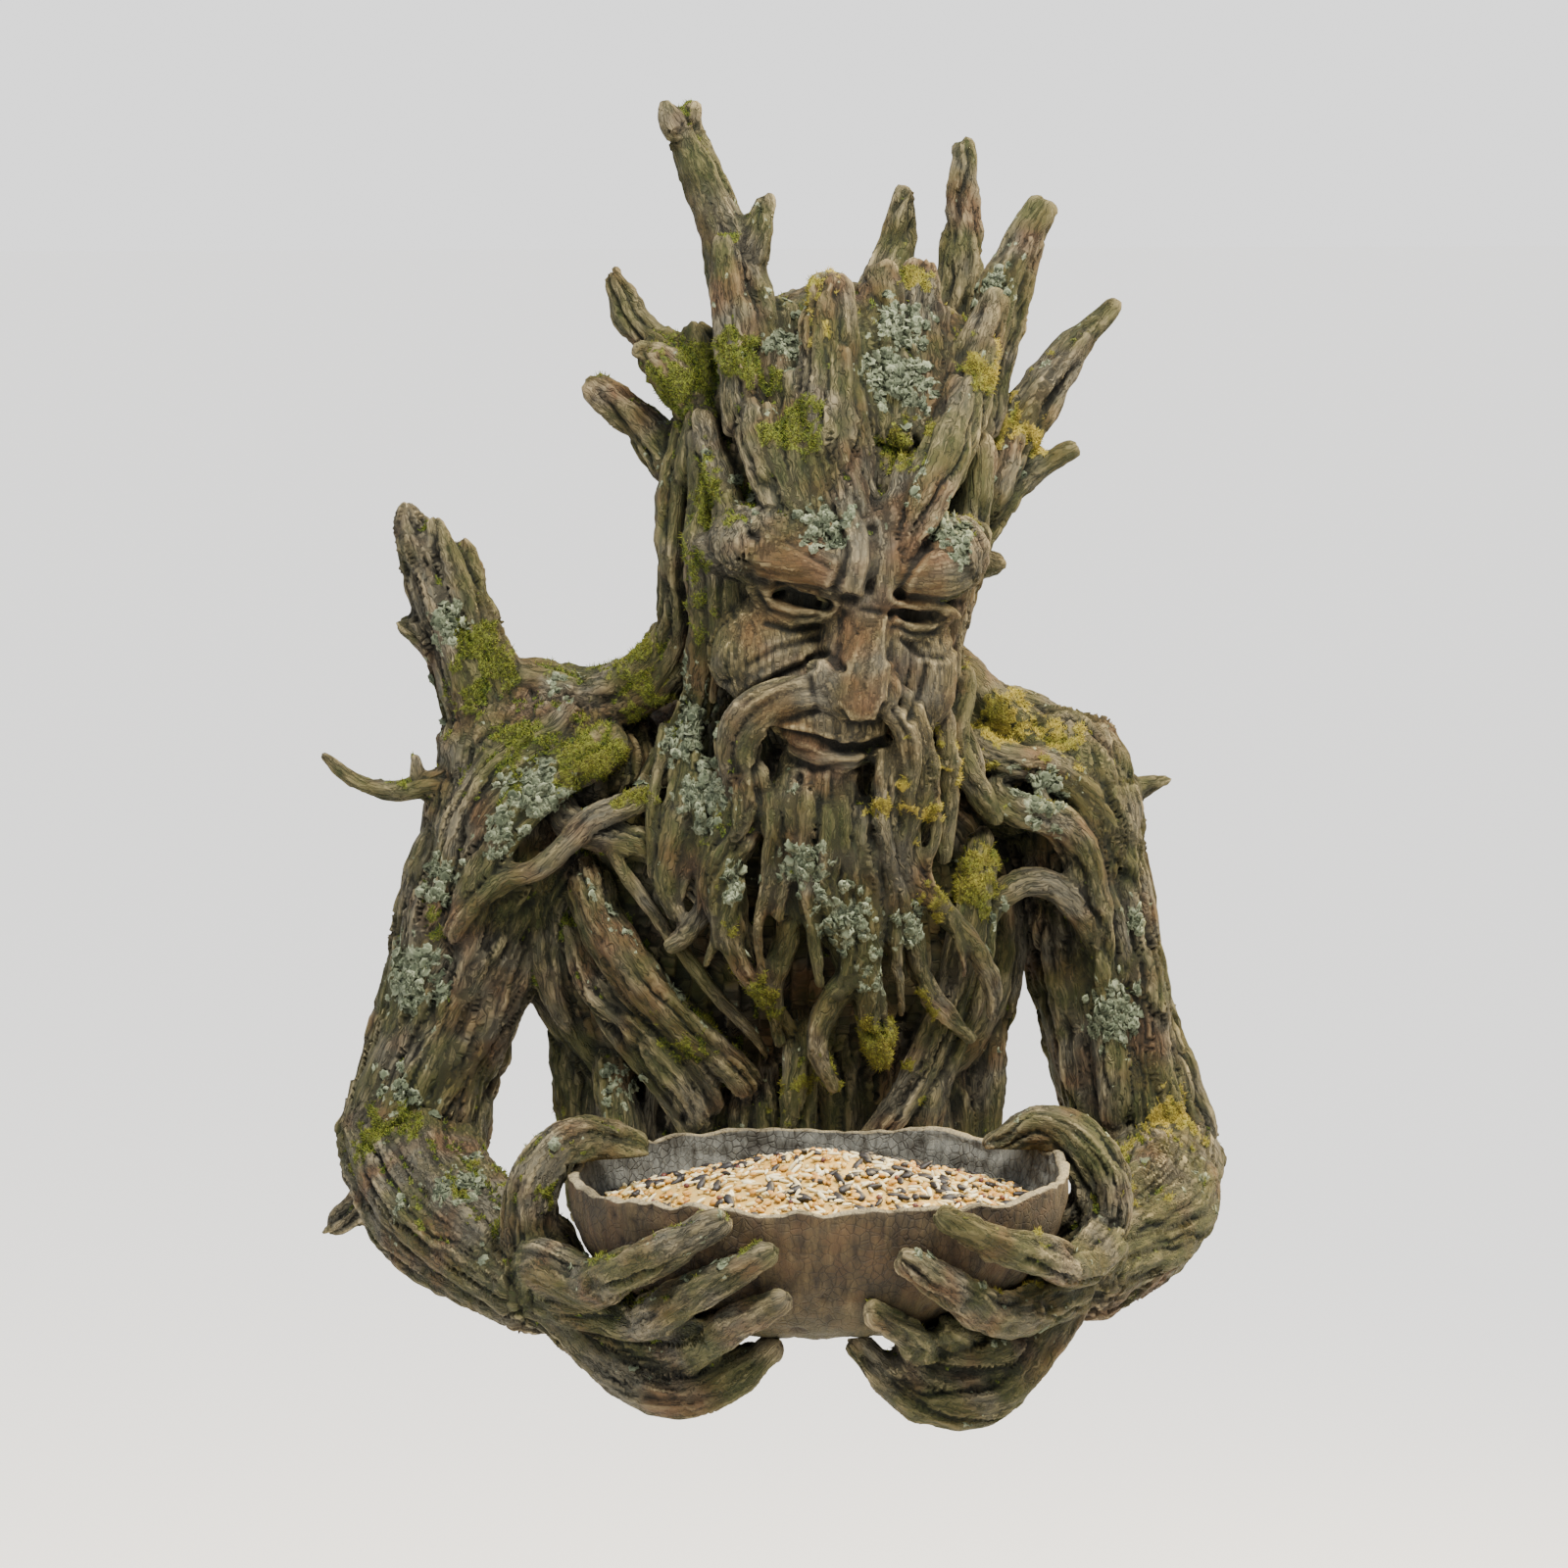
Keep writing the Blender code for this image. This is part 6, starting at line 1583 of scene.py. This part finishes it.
def dishMaterial(look):
    # hewn wood kept wet and dry by turns: silver grey inside where rain stands, browner outside
    made, tree, shader = begun("hewn dish wood", 0.82, 0.25)
    grain = attribute(tree, "grain")
    inside, check, level = parted(tree, attribute(tree, "form"))
    place = inMm(tree)
    long = scaled(tree, grain, (0.10, 0.34, 0.34))
    fibre = texture(tree, long, 0.5, 6, 0.7)
    fine = texture(tree, long, 1.9, 3, 0.6)
    patch = texture(tree, place, 0.03, 3, 0.6)
    grit = texture(tree, place, 0.8, 4, 0.7)
    shades = [look[key] for key in ("dark", "mid", "light", "pale")]
    outer = ramp(tree, fibre, list(zip((0.28, 0.42, 0.6, 0.8), shades)))
    worn = ramp(tree, texture(tree, place, 0.05, 3, 0.6), [(0.44, 0.0), (0.6, 0.5)])
    outer = blended(tree, worn, outer, colour(look["warm"]))
    inner = ramp(tree, fibre, [(0.30, look["stain"]), (0.48, look["inside"]), (0.75, look["insidePale"])])
    surface = blended(tree, inside, outer, inner)
    # fine crazing where the wood dried too fast, and a pale band along the rim, partly worn wood and partly a
    # painted highlight
    bent = node(tree, "VectorMath", {"operation": "ADD"}, Vector=place)
    stir = node(tree, "TexNoise", Vector=place, Scale=0.12, Detail=2)
    tree.links.new(stir.outputs["Color"], bent.inputs[1])
    cells = node(tree, "TexVoronoi", {"feature": "DISTANCE_TO_EDGE"}, Vector=bent.outputs[0], Scale=0.2)
    crazing = ramp(tree, cells.outputs["Distance"], [(0.0, 1.0), (0.09, 0.0)])
    crazing = product(tree, crazing, ramp(tree, patch, [(0.36, 0.2), (0.6, 1.0)]))
    surface = blended(tree, product(tree, crazing, 0.6), surface, colour(look["dark"]))
    edge = ramp(tree, inside, [(0.2, 0.0), (0.55, 1.0), (0.65, 1.0), (1.0, 0.0)])
    edge = product(tree, edge, ramp(tree, grit, [(0.38, 0.2), (0.56, 0.9)]))
    surface = blended(tree, edge, surface, colour(look["rim"]))
    surface = blended(tree, ramp(tree, patch, [(0.48, 0.0), (0.64, 0.55)]), surface, colour(look["stain"]))
    damp = product(tree, ramp(tree, level, [(0.05, 0.75), (0.5, 0.0)]), rest(tree, inside))
    surface = blended(tree, product(tree, damp, 0.5), surface, colour(look["green"]))
    surface = blended(tree, product(tree, check, 0.9), surface, colour(look["dark"]))
    tree.links.new(surface, shader.inputs["Base Color"])
    height = maths(tree, "ADD", product(tree, fibre, 0.8), product(tree, fine, 0.4))
    height = maths(tree, "ADD", height, product(tree, grit, 0.3))
    height = maths(tree, "SUBTRACT", height, product(tree, crazing, 0.5))
    bump = node(tree, "Bump", Height=height, Strength=0.8, Distance=0.0018)
    tree.links.new(bump.outputs["Normal"], shader.inputs["Normal"])
    return made


dish = buildDish()
dish.data.materials.append(dishMaterial(dishLook))
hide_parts("feeding_bowl")
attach(dish, "root")
report("dish hewn, %d triangles" % len(trianglesOf(dish.data)))


# seed: millet, cracked maize, husked oats and black sunflower on a heap

seedDetail = {"count": 2050, "quickCount": 1200, "layer": 0.0016, "sink": 0.0008, "slope": 1.12}
seedKinds = [   # share, half length, half width, half thickness in mm, then shades' place on the ramp
    ("millet", 0.24, 1.3, 1.2, 1.1, 0.62, 0.80),
    ("maize", 0.30, 2.5, 2.0, 1.3, 0.44, 0.58),
    ("oat", 0.30, 4.3, 1.4, 1.1, 0.76, 1.0),
    ("sunflower", 0.12, 5.2, 2.5, 1.6, 0.0, 0.10),
    ("berry", 0.04, 1.7, 1.6, 1.5, 0.18, 0.28),
]


def seedHeap():
    # the heap's own body, over the dish's inner wall
    gap = 0.0006
    rows = [(0.001, dishShape["floor"] + gap), (dishWide * dishShape["foot"] * 0.8, dishShape["floor"] + gap)]
    for step in np.linspace(0.3, dishShape["seedEdge"], 8):
        thick = dishShape["wall"] * (1 + 0.5 * (1 - step))
        rows.append((dishWide * dishShare(step - 0.1 * (1 - step)) - thick - gap - 0.001, dishTall * step))
    edge, level = rows[-1]
    crownRise = seedHigh.z - dishMiddle.z - level
    for share in np.linspace(0.97, 0.01, 40):
        rows.append((edge * share, level - 0.0012 + crownRise * (1 - share ** seedDetail["slope"])))
    spots, quads, tris = turnedArrays(rows, 120)
    upper = spots[:, 2] > dishMiddle.z + level
    spots[:, 2] += np.where(upper, 0.0007 * noise(spots / 0.004), 0)
    return spots, quads, tris, edge, level, crownRise


def buildSeed():
    heapSpots, heapQuads, heapTris, edge, level, crownRise = seedHeap()
    draw = np.random.RandomState(3)
    count = seedDetail["count"]
    spotList, triList, tintList = [], [], []
    start = 0
    rings, sides = 4, 6
    tilts = np.linspace(-math.pi / 2, math.pi / 2, rings + 1)[1:-1]
    unit = [(-1.0, 0.0, 0.0)]
    for tilt in tilts:
        unit += [(math.sin(tilt), math.cos(tilt) * math.cos(t), math.cos(tilt) * math.sin(t))
                 for t in np.arange(sides) * math.tau / sides]
    unit = np.array(unit + [(1.0, 0.0, 0.0)])
    faces = [(0, 1 + (i + 1) % sides, 1 + i) for i in range(sides)]
    for ring in range(len(tilts) - 1):
        for i in range(sides):
            a, b = 1 + ring * sides + i, 1 + ring * sides + (i + 1) % sides
            faces += [(a, b, b + sides), (a, b + sides, a + sides)]
    last = 1 + (len(tilts) - 1) * sides
    faces += [(last + i, last + (i + 1) % sides, len(unit) - 1) for i in range(sides)]
    faces = np.array(faces)
    for name, share, halfLong, halfWide, halfThick, low, high in seedKinds:
        for _ in range(int(count * share)):
            turn = draw.rand() * math.tau
            out = math.sqrt(draw.rand()) * 0.985
            size = np.array((halfLong, halfWide, halfThick)) * (0.8 + 0.4 * draw.rand()) / 1000
            shape = unit * size
            if name == "sunflower":
                shape[:, 1:] *= (1 - 0.35 * unit[:, :1])        # broad at one end, pointed at the other
            slope = -seedDetail["slope"] * crownRise * out ** 0.12 / edge
            yaw, roll, pitch = draw.rand() * math.tau, draw.normal() * 0.5, draw.normal() * 0.28
            spin = Matrix.Rotation(yaw, 3, "Z") @ Matrix.Rotation(pitch, 3, "Y")
            spin = np.array(spin @ Matrix.Rotation(roll, 3, "X"))
            lean = np.array(Matrix.Rotation(turn, 3, "Z") @ Matrix.Rotation(-math.atan(slope), 3, "Y")
                            @ Matrix.Rotation(-turn, 3, "Z"))
            lift = crownRise * (1 - out ** seedDetail["slope"]) + size[2] * 0.5
            lift += draw.rand() * seedDetail["layer"] - seedDetail["sink"]
            middle = np.array(dishMiddle) + (
                edge * out * math.cos(turn), edge * out * math.sin(turn) * dishDeep / dishWide, level + lift)
            spotList.append(shape @ spin.T @ lean.T + middle)
            triList.append(faces + start)
            tintList.append(np.full(len(unit), low + (high - low) * draw.rand()))
            start += len(unit)
    seeds = np.vstack(spotList)
    spots = np.vstack([seeds, heapSpots])
    tints = np.concatenate(tintList + [0.6 + 0.06 * noise(heapSpots / 0.004)])
    mesh = meshFrom("seed_mix", spots, [np.vstack(triList + [heapTris + start]), heapQuads + start])
    work = bmesh.new()
    work.from_mesh(mesh)
    bmesh.ops.recalc_face_normals(work, faces=work.faces)
    work.to_mesh(mesh)
    work.free()
    addAttribute(mesh, "tint", np.stack([tints, tints * 0, tints * 0], 1))
    mesh.polygons.foreach_set("use_smooth", np.ones(len(mesh.polygons), bool))
    return objectFrom("seed_mix", mesh)


seedPiece = buildSeed()
# dry seed: hard husks with a slight sheen, from black sunflower through red berries and maize to pale oats
seedPiece.data.materials.append(tintMaterial("mixed seed", 0.55, [
    (0.0, "#121012"), (0.12, "#27221f"), (0.2, "#451a14"), (0.3, "#5f351a"), (0.36, "#5e4a29"),
    (0.42, "#8f6022"), (0.58, "#ad8a42"), (0.62, "#9f8750"), (0.8, "#b6a36c"), (0.84, "#b4a780"),
    (1.0, "#ccc39f")], None, 0.4))
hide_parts("bird_seed")
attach(seedPiece, "root")
report("seed heaped, %d triangles" % len(trianglesOf(seedPiece.data)))


# stage, light and camera

stageLook = {
    "floorDrop": 0.9, "floorSize": 60, "floor": "#fdfcfa", "world": 1.7,
    "sensor": 36,               # mm
    "squaresWide": 160,         # of the sheet, that the picture shows
}


def buildStage():
    work = bmesh.new()
    bmesh.ops.create_grid(work, x_segments=1, y_segments=1, size=stageLook["floorSize"])
    mesh = bpy.data.meshes.new("floor")
    work.to_mesh(mesh)
    work.free()
    floor = objectFrom("floor", mesh)
    floor.location.z = figureLow.z - stageLook["floorDrop"]
    made, _, shader = begun("pale floor", 0.9, 0.1)
    shader.inputs["Base Color"].default_value = colour(stageLook["floor"])
    mesh.materials.append(made)
    world = bpy.data.worlds.new("studio")
    world.use_nodes = True
    world.node_tree.nodes["Background"].inputs["Color"].default_value = (1, 1, 1, 1)
    world.node_tree.nodes["Background"].inputs["Strength"].default_value = stageLook["world"]
    bpy.context.scene.world = world


def areaLight(name, place, aim, size, power, shade):
    data = bpy.data.lights.new(name, "AREA")
    data.size = size
    data.energy = power
    data.color = colour(shade)[:3]
    lamp = bpy.data.objects.new(name, data)
    bpy.context.scene.collection.objects.link(lamp)
    lamp.location = place
    lamp.rotation_euler = (Vector(aim) - Vector(place)).to_track_quat("-Z", "Y").to_euler()


buildStage()
middle = placed(0, 60, 20)
areaLight("overhead softbox", (0.25, -1.3, 2.0), middle, 0.9, 210, "#fff8ec")
areaLight("left fill", (-2.2, -1.6, 0.5), middle, 1.6, 16, "#e6f0ff")
areaLight("low sun behind", (1.7, 0.9, 1.1), middle, 0.5, 190, "#ffe2a6")

camera = bpy.data.objects.new("camera", bpy.data.cameras.new("camera"))
bpy.context.scene.collection.objects.link(camera)
eyeWay = sightAhead * sheet["distance"] * square
camera.location = sheetMiddle - eyeWay
camera.rotation_euler = eyeWay.to_track_quat("-Z", "Y").to_euler()
camera.data.sensor_width = stageLook["sensor"]
camera.data.lens = stageLook["sensor"] * sheet["distance"] / stageLook["squaresWide"]
camera.data.clip_end = 200
bpy.context.scene.camera = camera

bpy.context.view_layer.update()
report("done")
